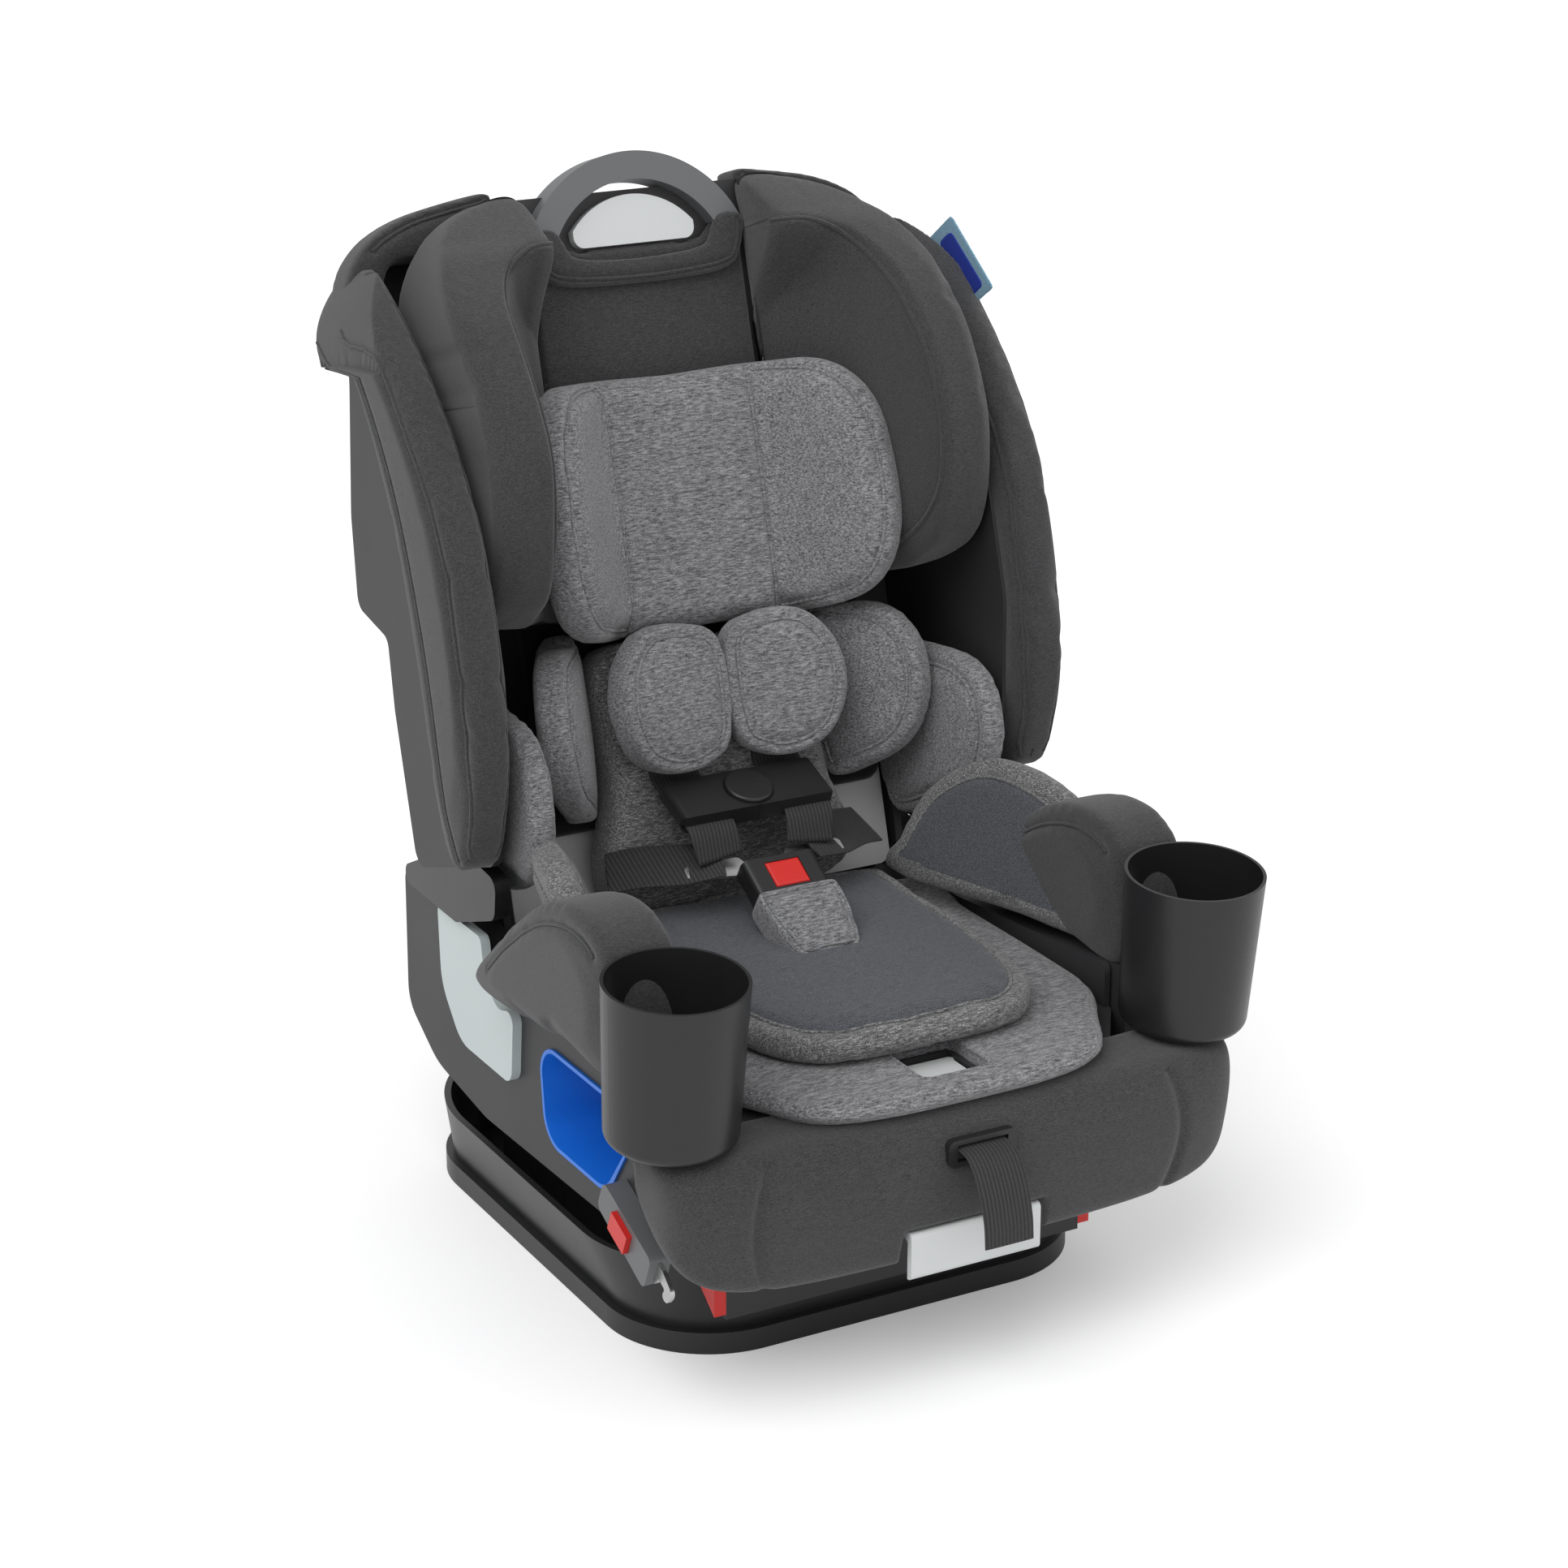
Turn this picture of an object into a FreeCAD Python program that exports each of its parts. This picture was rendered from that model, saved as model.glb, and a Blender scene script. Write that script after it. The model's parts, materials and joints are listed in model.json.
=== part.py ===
import FreeCAD, Part
import math
import os

# A convertible child seat: a rocking base, a bucket seat with a back shell, and a sliding headrest.
# Millimetres, +Z up, the seat faces -Y, origin in the middle of the base's footprint on the floor.

# Fits
gap = 0.3
pin_gap = 0.05
skin = 0.3

# Base
base_half_width = 180.0
base_half_length = 207.0
base_corner = 80.0
skirt_height = 16.0
skirt_step = 6.0
rim_half_width = 194.0
rim_half_length = 211.0
rim_corner = 92.0
rim_rear_corner = 126.0
rim_height = 72.0
base_wall = 5.0
base_floor = 6.0
foot_radius = 15.0
foot_depth = 3.0
foot_inset = 62.0
housing_half_width = 140.0
housing_low = 40.0
housing_high = 70.0
housing_front = 226.0
indicator_width = 9.0

# Recline track: every arc is struck about the virtual pivot
rail_radius = 385.0
rail_low = 65.0
pivot_height = rail_low + rail_radius
rail_width = 18.0
rail_offset = 130.0
track_half_length = 130.0
rail_rear = 165.0

# Seat shell
seat_pitch = 4.8
shell_half_width = 172.0
shell_wall = 6.0
pan_top = 198.0
nose_front = 290.0
shell_rear = 177.0
arm_rear_height = 214.0
arm_front_height = 232.0
arm_front = 226.0
panel_thickness = 18.0

# Belt path
belt_front = 205.0
belt_rear = 62.0
belt_low = 118.0
belt_high = 186.0
belt_wall = 3.0
belt_depth = 76.0
guide_thickness = 7.0

# Cup holders
cup_spacing = 395.0
cup_forward = 270.0
cup_rim_height = 313.0
cup_radius = 48.0
cup_taper = 4.0
cup_height = 112.0
cup_wall = 2.2
cup_bottom_round = 8.0

# Armrests and boot
armrest_inner = 166.0
armrest_outer = 225.0
armrest_round = 20.0
armrest_top = 333.0
boot_half_width = 220.0
boot_front = 319.0
boot_top = 193.0
boot_low = 93.0
handle_notch = 55.0
notch_top = 122.0

# Seat cushions
pad_half_width = 165.0
pad_thickness = 16.0
pad_nose = 309.0
insert_half_width = 120.0
insert_thickness = 22.0
insert_front = 256.0
lap_wing_lean = 20.0
lap_wing_toe = 16.0
lap_wing_thickness = 22.0
lap_wing_height = 104.0

# Back
back_angle = 16.0
back_y = 60.0
back_z = 260.0
back_top = 464.0
back_plate = 6.0
back_depth = 40.0
side_inner = 197.0
wing_thickness = 32.0
shoulder_top = 488.0
shoulder_side = 474.0
shoulder_round = 100.0
foam_top = 440.0
foam_half_width = 155.0
lining_thickness = 11.5
ear_half_width = 165.6
pin_radius = 6.0
pin_forward = -35.0
pin_up = -22.0

# Headrest
headrest_low = 178.0
headrest_high = 476.0
headrest_round = 105.0
headrest_nose = 158.0
nose_band = 43.0
headrest_plate = 7.0
headrest_half_width = 193.0
headrest_panel_half = 85.0
headrest_panel = 8.0
channel_half = 20.0
channel_wall = 3.0
channel_low = 100.0
carrier_low = 200.0
carrier_length = 50.0
arch_centre = 410.0
arch_outer = 92.0
arch_inner = 72.0
arch_depth = 26.0
lever_half = 48.0
lever_low = 437.0
lever_travel = 8.0

# Pillows
pillow_low = 161.0
pillow_high = 344.0
pillow_half = 66.0
pillow_depth = 32.0
neck_low = 62.0
neck_high = 166.0
neck_lobe = 95.0
neck_back = 47.0
neck_depth = 28.0
torso_thickness = 40.0
torso_top = 155.0
torso_half = 92.0

# Harness
webbing_width = 38.0
webbing_thickness = 1.8
strap_offset = 41.0
clip_y = 2.0
clip_z = 316.0
clip_slope = 21.0
clip_half_width = 61.0
clip_length = 40.0
clip_thickness = 14.0
clip_button_radius = 18.0
clip_button_travel = 3.0
buckle_y = -66.0
buckle_z = 262.0
buckle_slope = 31.0
buckle_half_width = 29.0
buckle_length = 62.0
buckle_thickness = 20.0
button_half_width = 13.5
button_length = 22.0
button_travel = 3.5
button_y = 4.0
button_low = -3.0
tongue_thickness = 2.5

# Small controls
release_y = -263.0
release_half_width = 19.0
release_length = 40.0
release_thickness = 6.0
release_pin = 2.5
recline_half_width = 50.0
recline_height = 26.0
adjuster_width = 38.0
slot_z = 176.0

# Lower anchor connectors
connector_length = 74.0
connector_width = 34.0
connector_thickness = 16.0
connector_slope = 24.0
connector_y = -208.0
connector_z = 112.0
hook_thickness = 3.0



def vec(x, y, z):
    return FreeCAD.Vector(x, y, z)


def outline_face(corners, place):
    """Closed face through corners (a, b) or (a, b, radius), with round corners as tangent arcs."""
    count = len(corners)
    ends = []
    arcs = []
    for i in range(count):
        here = corners[i]
        before = corners[i - 1]
        after = corners[(i + 1) % count]
        radius = here[2] if len(here) > 2 else 0.0
        p = vec(here[0], here[1], 0)
        to_before = vec(before[0], before[1], 0).sub(p)
        to_after = vec(after[0], after[1], 0).sub(p)
        to_before.normalize()
        to_after.normalize()
        if radius > 0:
            half = to_before.getAngle(to_after) / 2
            reach = radius / math.tan(half)
            middle = to_before.add(to_after)
            middle.normalize()
            centre = p.add(middle.multiply(radius / math.sin(half)))
            inward = p.sub(centre)
            inward.normalize()
            start = p.add(to_before.multiply(reach))
            end = p.add(to_after.multiply(reach))
            arcs.append((start, centre.add(inward.multiply(radius)), end))
            ends.append((start, end))
        else:
            arcs.append(None)
            ends.append((p, p))
    edges = []
    for i in range(count):
        if arcs[i]:
            start, mid, end = (place(q.x, q.y) for q in arcs[i])
            edges.append(Part.Arc(start, mid, end).toShape())
        leave = ends[i][1]
        arrive = ends[(i + 1) % count][0]
        if leave.distanceToPoint(arrive) > 0.001:
            edges.append(Part.LineSegment(place(leave.x, leave.y), place(arrive.x, arrive.y)).toShape())
    return Part.Face(Part.Wire(edges))


def slab_x(corners, x0, x1):
    return outline_face(corners, lambda a, b: vec(x0, a, b)).extrude(vec(x1 - x0, 0, 0))


def slab_y(corners, y0, y1):
    return outline_face(corners, lambda a, b: vec(a, y0, b)).extrude(vec(0, y1 - y0, 0))


def slab_z(corners, z0, z1):
    return outline_face(corners, lambda a, b: vec(a, b, z0)).extrude(vec(0, 0, z1 - z0))


def block(x0, x1, y0, y1, z0, z1):
    return Part.makeBox(x1 - x0, y1 - y0, z1 - z0, vec(x0, y0, z0))


def rounded_wire(half_width, half_length, corner, rear_corner, z):
    corners = [(half_width, -half_length, corner), (half_width, half_length, rear_corner),
               (-half_width, half_length, rear_corner), (-half_width, -half_length, corner)]
    return outline_face(corners, lambda a, b: vec(a, b, z)).OuterWire


def mirrored(shape):
    return shape.mirror(vec(0, 0, 0), vec(1, 0, 0))


def pair(shape):
    """The shape and its mirror image, for two like pieces that share a node."""
    return Part.makeCompound([shape, mirrored(shape)])


def both_sides(corners):
    """An outline given for its +X half, from the middle round, closed by its mirror image."""
    other = [(-c[0],) + tuple(c[1:]) for c in reversed(corners) if c[0] != 0]
    return corners + other


def turned(shape, degrees, origin):
    """Turn about X and move: local y goes along the slope and local z stands off it."""
    moved = shape.copy()
    moved.rotate(vec(0, 0, 0), vec(1, 0, 0), degrees)
    moved.translate(origin)
    return moved


def on_back(shape):
    """From the back's own frame (x, -forward, up the back) to the seat."""
    return turned(shape, -back_angle, vec(0, back_y, back_z))


def back_side(corners, x0, x1):
    """A slab from an outline of (forward, up) between two values of X."""
    flipped = [(-c[0],) + tuple(c[1:]) for c in corners]
    return on_back(slab_x(flipped, x0, x1))


def back_plan(corners, low, high):
    """A slab from an outline of (x, forward) between two heights up the back."""
    flipped = [(c[0], -c[1]) + tuple(c[2:]) for c in corners]
    return on_back(slab_z(flipped, low, high))


def back_front(corners, near, far):
    """A slab from an outline of (x, up) between two distances forward of the back."""
    return on_back(slab_y(corners, -far, -near))


def ring_sector(radius_out, radius_in, y_span):
    """A ring about Y through its own origin, both ends square."""
    outer = Part.makeCylinder(radius_out, y_span, vec(0, 0, 0), vec(0, 1, 0))
    inner = Part.makeCylinder(radius_in, y_span, vec(0, 0, 0), vec(0, 1, 0))
    return outer.cut(inner)


parts = {}


# Base tub with a stepped skirt, an open top and feet let into its floor
def base_tub():
    skirt = outline_face([(base_half_width, -base_half_length, base_corner),
                          (base_half_width, base_half_length, base_corner),
                          (-base_half_width, base_half_length, base_corner),
                          (-base_half_width, -base_half_length, base_corner)],
                         lambda a, b: vec(a, b, 0)).extrude(vec(0, 0, skirt_height))
    low = rounded_wire(base_half_width - skirt_step, base_half_length - skirt_step,
                       base_corner - skirt_step, base_corner - skirt_step, skirt_height)
    high = rounded_wire(rim_half_width, rim_half_length, rim_corner, rim_rear_corner, rim_height)
    tub = Part.makeLoft([low, high], True, True)
    return skirt, tub


def base_cavity():
    inset = skirt_step + base_wall
    corner = base_corner - inset
    low = rounded_wire(base_half_width - inset, base_half_length - inset, corner, corner, base_floor)
    middle = rounded_wire(base_half_width - inset, base_half_length - inset, corner, corner, skirt_height)
    high = rounded_wire(rim_half_width - base_wall, rim_half_length - base_wall,
                        rim_corner - base_wall, rim_rear_corner - base_wall, rim_height)
    return Part.makeLoft([low, middle], True, True).fuse(Part.makeLoft([middle, high], True, True))


def foot_discs(radius):
    discs = []
    for sx in (-1, 1):
        for sy in (-1, 1):
            place = vec(sx * (base_half_width - foot_inset), sy * (base_half_length - foot_inset), 0)
            discs.append(Part.makeCylinder(radius, foot_depth, place))
    return discs


skirt, tub = base_tub()
base_outer = skirt.fuse(tub)
feet = foot_discs(foot_radius)
base_shell = base_outer.cut(base_cavity())
for pocket in foot_discs(foot_radius + pin_gap):
    base_shell = base_shell.cut(pocket)
parts["base_shell"] = base_shell.removeSplitter()
parts["foot_pads"] = Part.makeCompound(feet)


def arc_z(radius, y):
    return pivot_height - math.sqrt(radius * radius - y * y)


def arc_slab(radius_top, radius_low, y0, y1, x0, x1):
    """A curved rail between two arcs about the pivot."""
    def point(radius, y):
        return vec(x0, y, arc_z(radius, y))
    middle = (y0 + y1) / 2
    top = Part.Arc(point(radius_top, y0), point(radius_top, middle), point(radius_top, y1)).toShape()
    low = Part.Arc(point(radius_low, y1), point(radius_low, middle), point(radius_low, y0)).toShape()
    end_a = Part.LineSegment(point(radius_top, y1), point(radius_low, y1)).toShape()
    end_b = Part.LineSegment(point(radius_low, y0), point(radius_top, y0)).toShape()
    return Part.Face(Part.Wire([top, end_a, low, end_b])).extrude(vec(x1 - x0, 0, 0))


# The fixed tracks stand on the tub's floor and carry the rocking rails
def base_track(x0, x1):
    y = track_half_length
    radius = rail_radius + gap
    start = vec(x0, -y, arc_z(radius, y))
    end = vec(x0, y, arc_z(radius, y))
    top = Part.Arc(start, vec(x0, 0, pivot_height - radius), end).toShape()
    down = Part.LineSegment(end, vec(x0, y, base_floor)).toShape()
    floor = Part.LineSegment(vec(x0, y, base_floor), vec(x0, -y, base_floor)).toShape()
    up = Part.LineSegment(vec(x0, -y, base_floor), start).toShape()
    return Part.Face(Part.Wire([top, down, floor, up])).extrude(vec(x1 - x0, 0, 0))


track_right = base_track(rail_offset - rail_width / 2, rail_offset + rail_width / 2)
parts["base_tracks"] = pair(track_right)

housing = block(-housing_half_width, housing_half_width, -housing_front, -rim_half_length + 40,
                housing_low, housing_high).cut(base_outer)
parts["recline_housing"] = housing
indicator = slab_x([(-housing_front, housing_high), (-housing_front, housing_low + 4),
                    (-rim_half_length + 20, housing_high)],
                   housing_half_width, housing_half_width + indicator_width).cut(base_outer)
parts["lock_indicators"] = pair(indicator)

# Seat shell: a pan with low sides, hollow below, on two curved rails
shell_profile = [(-nose_front - 10, pan_top), (-nose_front - 10, 112, 30), (-134, 95, 80), (45, 89, 80),
                 (130, 100, 60), (shell_rear + 1, 130, 25), (shell_rear, 236, 12), (118, 240, 12),
                 (-12, arm_rear_height, 20), (-arm_front + 14, arm_front_height - 1, 8),
                 (-arm_front + 14, pan_top)]


def shell_plan(half, nose, rear):
    return both_sides([(120, -nose + 2, 50), (half, -arm_front + 14, 30), (half, rear)])


shell_outer = slab_x(shell_profile, -shell_half_width, shell_half_width)
shell_outer = shell_outer.common(slab_z(shell_plan(shell_half_width, nose_front, shell_rear + 5),
                                        pivot_height - rail_radius, 260))
inner_half = shell_half_width - shell_wall
upper_space = block(-inner_half, inner_half, -nose_front - 20, shell_rear + 20, pan_top, 300)
lower_space = slab_z(shell_plan(inner_half, nose_front - shell_wall, shell_rear - shell_wall),
                     50, pan_top - shell_wall)
seat_shell = shell_outer.cut(upper_space).cut(lower_space)
release_hole = block(-release_half_width - 2, release_half_width + 2,
                     release_y - release_length / 2 - 2, release_y + release_length / 2 + 2, 180, pan_top + 1)
seat_shell = seat_shell.cut(release_hole)

# Rails hang from the pan on webs and run on the tracks
def rocker_rail(x0, x1):
    rail = arc_slab(rail_radius - 12, rail_radius, -track_half_length, rail_rear, x0, x1)
    web = block((x0 + x1) / 2 - 3, (x0 + x1) / 2 + 3, -track_half_length, rail_rear, 60, pan_top - shell_wall)
    below = Part.makeCylinder(rail_radius - 6, x1 - x0, vec(x0, 0, pivot_height), vec(1, 0, 0))
    return rail.fuse(web.common(below))


rail_right = rocker_rail(rail_offset - rail_width / 2, rail_offset + rail_width / 2)

# Cup holders on the front of the armrests
def cup_solid(radius, height):
    wall = Part.makeCone(radius - cup_taper, radius, height)
    low_edges = [e for e in wall.Edges if e.BoundBox.ZMax < 0.1]
    return wall.makeFillet(cup_bottom_round, low_edges)


def cup_place(shape):
    return turned(shape, seat_pitch, vec(cup_spacing / 2, -cup_forward, cup_rim_height))


cup_outer = cup_solid(cup_radius, cup_height)
cup_inner = cup_solid(cup_radius - cup_wall, cup_height)
cup_inner.translate(vec(0, 0, cup_wall))
cup_local = cup_outer.cut(cup_inner)
cup_local.translate(vec(0, 0, -cup_height))
cup_outer.translate(vec(0, 0, -cup_height))
cup_right = cup_place(cup_local)
cup_clear = cup_place(cup_outer)
parts["cup_holder_right"] = cup_right
parts["cup_holder_left"] = mirrored(cup_right)

# Belt path: a tunnel from each side, in the colour of the recess
belt_outline = [(-belt_front, belt_high, 20), (-belt_front + 52, belt_low, 26), (-belt_rear, belt_low, 22),
                (-belt_rear + 8, belt_high, 20)]


def grown(corners, by):
    centre_y = sum(c[0] for c in corners) / len(corners)
    centre_z = sum(c[1] for c in corners) / len(corners)
    return [(c[0] + math.copysign(by, c[0] - centre_y), c[1] + math.copysign(by, c[1] - centre_z),
             c[2] + by) for c in corners]


panel_outer = shell_half_width + gap + panel_thickness
tunnel_inner = panel_outer - belt_depth
tunnel_solid = slab_x(grown(belt_outline, belt_wall), tunnel_inner, panel_outer + 2)
tunnel_hole = slab_x(belt_outline, tunnel_inner - 1, panel_outer + 3)
liner_right = tunnel_solid.cut(tunnel_hole)
tunnel_clear = slab_x(grown(belt_outline, belt_wall + pin_gap), tunnel_inner - 1, panel_outer + 3)
rail_right = rail_right.cut(tunnel_clear)

panel_profile = [(-arm_front - 4, 150, 30), (-arm_front + 60, 96, 50), (45, 90, 80), (130, 101, 60),
                 (shell_rear + 3, 131, 25), (shell_rear + 1, 240, 12), (118, 244, 12),
                 (-12, arm_rear_height, 20), (-arm_front - 2, arm_front_height, 6)]
panel_right = slab_x(panel_profile, shell_half_width + gap, panel_outer)
panel_right = panel_right.cut(tunnel_clear)
seat_shell = seat_shell.cut(tunnel_clear).cut(mirrored(tunnel_clear))

guide_profile = [(104, 236, 6), (101, 176, 40), (70, 141, 30), (-16, 141, 12), (-22, 199, 8), (6, 190, 16),
                 (26, 214, 12), (30, 236, 6)]
guide_right = slab_x(guide_profile, panel_outer, panel_outer + guide_thickness)

# Back shell: a plate with side plates, ears and pins at its foot
side_outer = side_inner + back_plate
plate_outline = both_sides([(side_outer, back_top, 40), (side_outer, 16, 6),
                            (foam_half_width + 4, 14, 4), (foam_half_width + 4, -46, 6)])
plate = back_front(plate_outline, -back_depth - back_plate, -back_depth)
side_profile = [(-62, 16, 14), (-62, 130, 20), (-56, 182, 10), (-104, 206, 12), (-92, 272, 60),
                (-58, 365, 60), (-back_depth - back_plate, back_top - 40, 12), (4, back_top - 48, 30),
                (70, 366, 60), (128, 250, 70), (130, 150, 60), (108, 70, 40), (78, 22, 14)]
side_plate = back_side(side_profile, side_inner, side_outer)
ear_outline = [(-back_depth - back_plate, 58, 8), (-4, 58, 8), (-8, -44, 6), (-back_depth - back_plate, -44, 2)]
ear = back_side(ear_outline, ear_half_width - back_plate, ear_half_width)
back_shell = plate.fuse([side_plate, mirrored(side_plate), ear, mirrored(ear)])


def pin_at(radius, x0, x1):
    local = Part.makeCylinder(radius, x1 - x0, vec(x0, -pin_forward, pin_up), vec(1, 0, 0))
    return on_back(local)


pin_right = pin_at(pin_radius, ear_half_width - back_plate - 4, panel_outer)
pin_clear = pin_at(pin_radius + pin_gap, 100, panel_outer + 1)
back_shell = back_shell.cut(pin_clear).cut(mirrored(pin_clear))
seat_shell = seat_shell.cut(pin_clear).cut(mirrored(pin_clear)).cut(back_shell)
panel_right = panel_right.cut(pin_clear).cut(cup_clear)
parts["seat_shell"] = seat_shell.removeSplitter()
parts["rocker_rails"] = pair(rail_right)
parts["side_panels"] = pair(panel_right)
parts["belt_liners"] = pair(liner_right)
parts["belt_guides"] = pair(guide_right)
parts["back_shell"] = back_shell.removeSplitter()
parts["back_pivot_pins"] = pair(pin_right)

# Armrest pads: crowned along and across
arm_profile = [(-arm_front - 4, arm_front_height), (-arm_front - 4, armrest_top - 12, 24),
               (-185, armrest_top, 70), (-118, armrest_top - 14, 90), (-62, arm_rear_height + 74, 60),
               (-6, arm_rear_height + 30, 24), (-12, arm_rear_height, 6)]
arm_crown = slab_x(arm_profile, armrest_inner, armrest_outer)
arm_edges = [e for e in arm_crown.Edges if e.BoundBox.XLength < 0.1 and e.BoundBox.ZMax > 240
             and e.BoundBox.YMax > -arm_front - 3.9]
armrest_right = arm_crown.makeFillet(armrest_round * 0.7, arm_edges)
armrest_right = armrest_right.cut(cup_clear).cut(panel_right).cut(seat_shell)

# Boot: the padded cover round the nose and under the cup holders
boot_view = both_sides([(handle_notch, notch_top, 3), (handle_notch, boot_low, 3),
                        (165, 112, 60), (boot_half_width, 160, 26), (boot_half_width - 4, boot_top + 6, 8)])
boot_plan = both_sides([(130, -boot_front + 4, 90), (boot_half_width, -290, 40),
                        (boot_half_width, -arm_front - 6, 8)])
boot = slab_y(boot_view, -boot_front - 5, -arm_front - 6).common(slab_z(boot_plan, 80, boot_top))
boot = boot.cut(slab_z(shell_plan(shell_half_width + gap, nose_front + gap, 0), 60, 220))
boot = boot.cut(cup_clear).cut(mirrored(cup_clear))

# Seat cushion with its rounded nose and the window of the release lever
pad_plan = both_sides([(108, -pad_nose + 4, 60), (140, -236, 40), (pad_half_width, -200, 30),
                       (pad_half_width, 60)])
pad_section = both_sides([(120, pan_top + pad_thickness + 1, 200),
                          (pad_half_width, pan_top + pad_thickness - 3, 6), (pad_half_width, pan_top)])
seat_pad = slab_z(pad_plan, pan_top, 260).common(slab_y(pad_section, -pad_nose - 10, 60))
pad_front = slab_x([(-pad_nose - 1, pan_top - 1), (-pad_nose - 1, pan_top + pad_thickness + 3, 14),
                    (70, pan_top + pad_thickness + 3), (70, pan_top - 1)], -180, 180)
seat_pad = seat_pad.common(pad_front)
window_half = release_half_width + 6.5
window_plan = [(-window_half, release_y - 28, 8), (window_half, release_y - 28, 8),
               (window_half, release_y + 28, 8), (-window_half, release_y + 28, 8)]
seat_pad = seat_pad.cut(slab_z(window_plan, 190, 260))

back_reach = back_front(both_sides([(200, -60), (200, 200)]), -200, skin)
seat_pad = seat_pad.cut(back_reach)
parts["seat_pad"] = seat_pad

# Lap cushion and its leaning side wings
pad_face = pan_top + pad_thickness + 2
insert_plan = both_sides([(70, -insert_front + 6, 40), (insert_half_width, -200, 60),
                          (insert_half_width, 40)])
lap_insert = slab_z(insert_plan, pad_face, pad_face + insert_thickness).cut(back_reach)
insert_edges = [e for e in lap_insert.Edges if e.BoundBox.ZMin > pad_face + insert_thickness - 0.1
                and e.BoundBox.YMax < 39]
lap_insert = lap_insert.makeFillet(8.0, insert_edges)
lap_top = pad_face + insert_thickness
wing_profile = [(-238, 0), (-236, 26, 20), (-105, lap_wing_height - 4, 60), (-50, lap_wing_height, 40),
                (0, 66, 40), (12, 0)]
wing_slab = slab_x(wing_profile, 0, lap_wing_thickness)
wing_edges = [e for e in wing_slab.Edges if e.BoundBox.XLength < 0.1 and e.BoundBox.ZMax > 1]
wing_slab = wing_slab.makeFillet(8.0, wing_edges)
wing_slab.rotate(vec(0, 0, 0), vec(0, 1, 0), lap_wing_lean)
wing_slab.rotate(vec(0, 0, 0), vec(0, 0, 1), lap_wing_toe)
wing_slab.translate(vec(insert_half_width + 2, 0, lap_top - 4))
lap_wing_right = wing_slab.cut([lap_insert, seat_pad, armrest_right, seat_shell, back_reach, cup_clear])
armrest_right = armrest_right.cut(lap_wing_right)
parts["armrest_pad_right"] = armrest_right
parts["armrest_pad_left"] = mirrored(armrest_right)
parts["boot_cover"] = boot
parts["lap_wing_right"] = lap_wing_right
parts["lap_wing_left"] = mirrored(lap_wing_right)

# Back foam and lining, slotted for the headrest's guide channel
channel_outer = channel_half + channel_wall
slot = back_front([(-channel_outer - gap, channel_low - gap), (channel_outer + gap, channel_low - gap),
                   (channel_outer + gap, back_top + 5), (-channel_outer - gap, back_top + 5)], -back_depth - 1, 5)
lining_back = -lining_thickness - skin
foam_outline = [(-foam_half_width, -40, 10), (foam_half_width, -40, 10), (foam_half_width, foam_top, 30),
                (-foam_half_width, foam_top, 30)]
back_foam = back_front(foam_outline, -back_depth, lining_back).cut(slot)
back_lining = back_front(foam_outline, lining_back, -skin).cut(slot)
floor_space = block(-200, 200, -50, 200, 100, pan_top + skin)
parts["back_foam"] = back_foam.cut(floor_space)
parts["back_lining"] = back_lining.cut(floor_space).cut(seat_pad)
channel_floor = back_front([(-channel_outer, channel_low), (channel_outer, channel_low),
                            (channel_outer, back_top - 8), (-channel_outer, back_top - 8)],
                           -back_depth, -skin)
channel_space = back_front([(-channel_half, channel_low - 1), (channel_half, channel_low - 1),
                            (channel_half, back_top), (-channel_half, back_top)],
                           -back_depth + channel_wall, 5)
parts["guide_channel"] = channel_floor.cut(channel_space)

# Outer wings of the back, padded, with a rounded front edge
wing_side = [(74, 26, 10), (100, 24, 16), (128, 60, 40), (152, 130, 90), (152, 250, 110), (104, 352, 90),
             (44, 430, 60), (6, 462, 20), (-46, 468, 14), (-52, 436, 10), (-14, 430, 20), (30, 366, 60),
             (58, 289, 80), (72, 177, 80), (66, 70, 40)]
wing_x0 = side_outer + gap
outer_wing = back_side(wing_side, wing_x0, wing_x0 + wing_thickness)
outer_edges = [e for e in outer_wing.Edges if e.BoundBox.XLength < 0.1 and e.BoundBox.XMin > wing_x0 + 1]
outer_wing = outer_wing.makeFillet(12.0, outer_edges)
top_band = back_front([(arch_outer + 4, foam_top + gap), (wing_x0 + 10, foam_top + gap),
                       (wing_x0 + 10, shoulder_top), (arch_outer + 4, shoulder_top)], -back_depth + gap, -skin)
shoulder = back_front(both_sides([(wing_x0 + wing_thickness, 0), (wing_x0 + wing_thickness, shoulder_side, shoulder_round),
                                  (arch_outer, shoulder_top)]), -120, 200)
outer_wing = outer_wing.fuse(top_band).common(shoulder).removeSplitter()
parts["outer_wing_right"] = outer_wing
parts["outer_wing_left"] = mirrored(outer_wing)

cover_profile = [(shell_rear - 3, 240, 8), (112, 270, 20), (30, 296, 14), (-10, 292, 10), (-6, 262, 12),
                 (60, 238, 10)]
hinge_cover = slab_x(cover_profile, panel_outer + gap, panel_outer + 12)
hinge_cover = hinge_cover.cut([back_shell, outer_wing, guide_right])
parts["hinge_covers"] = pair(hinge_cover)

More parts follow.
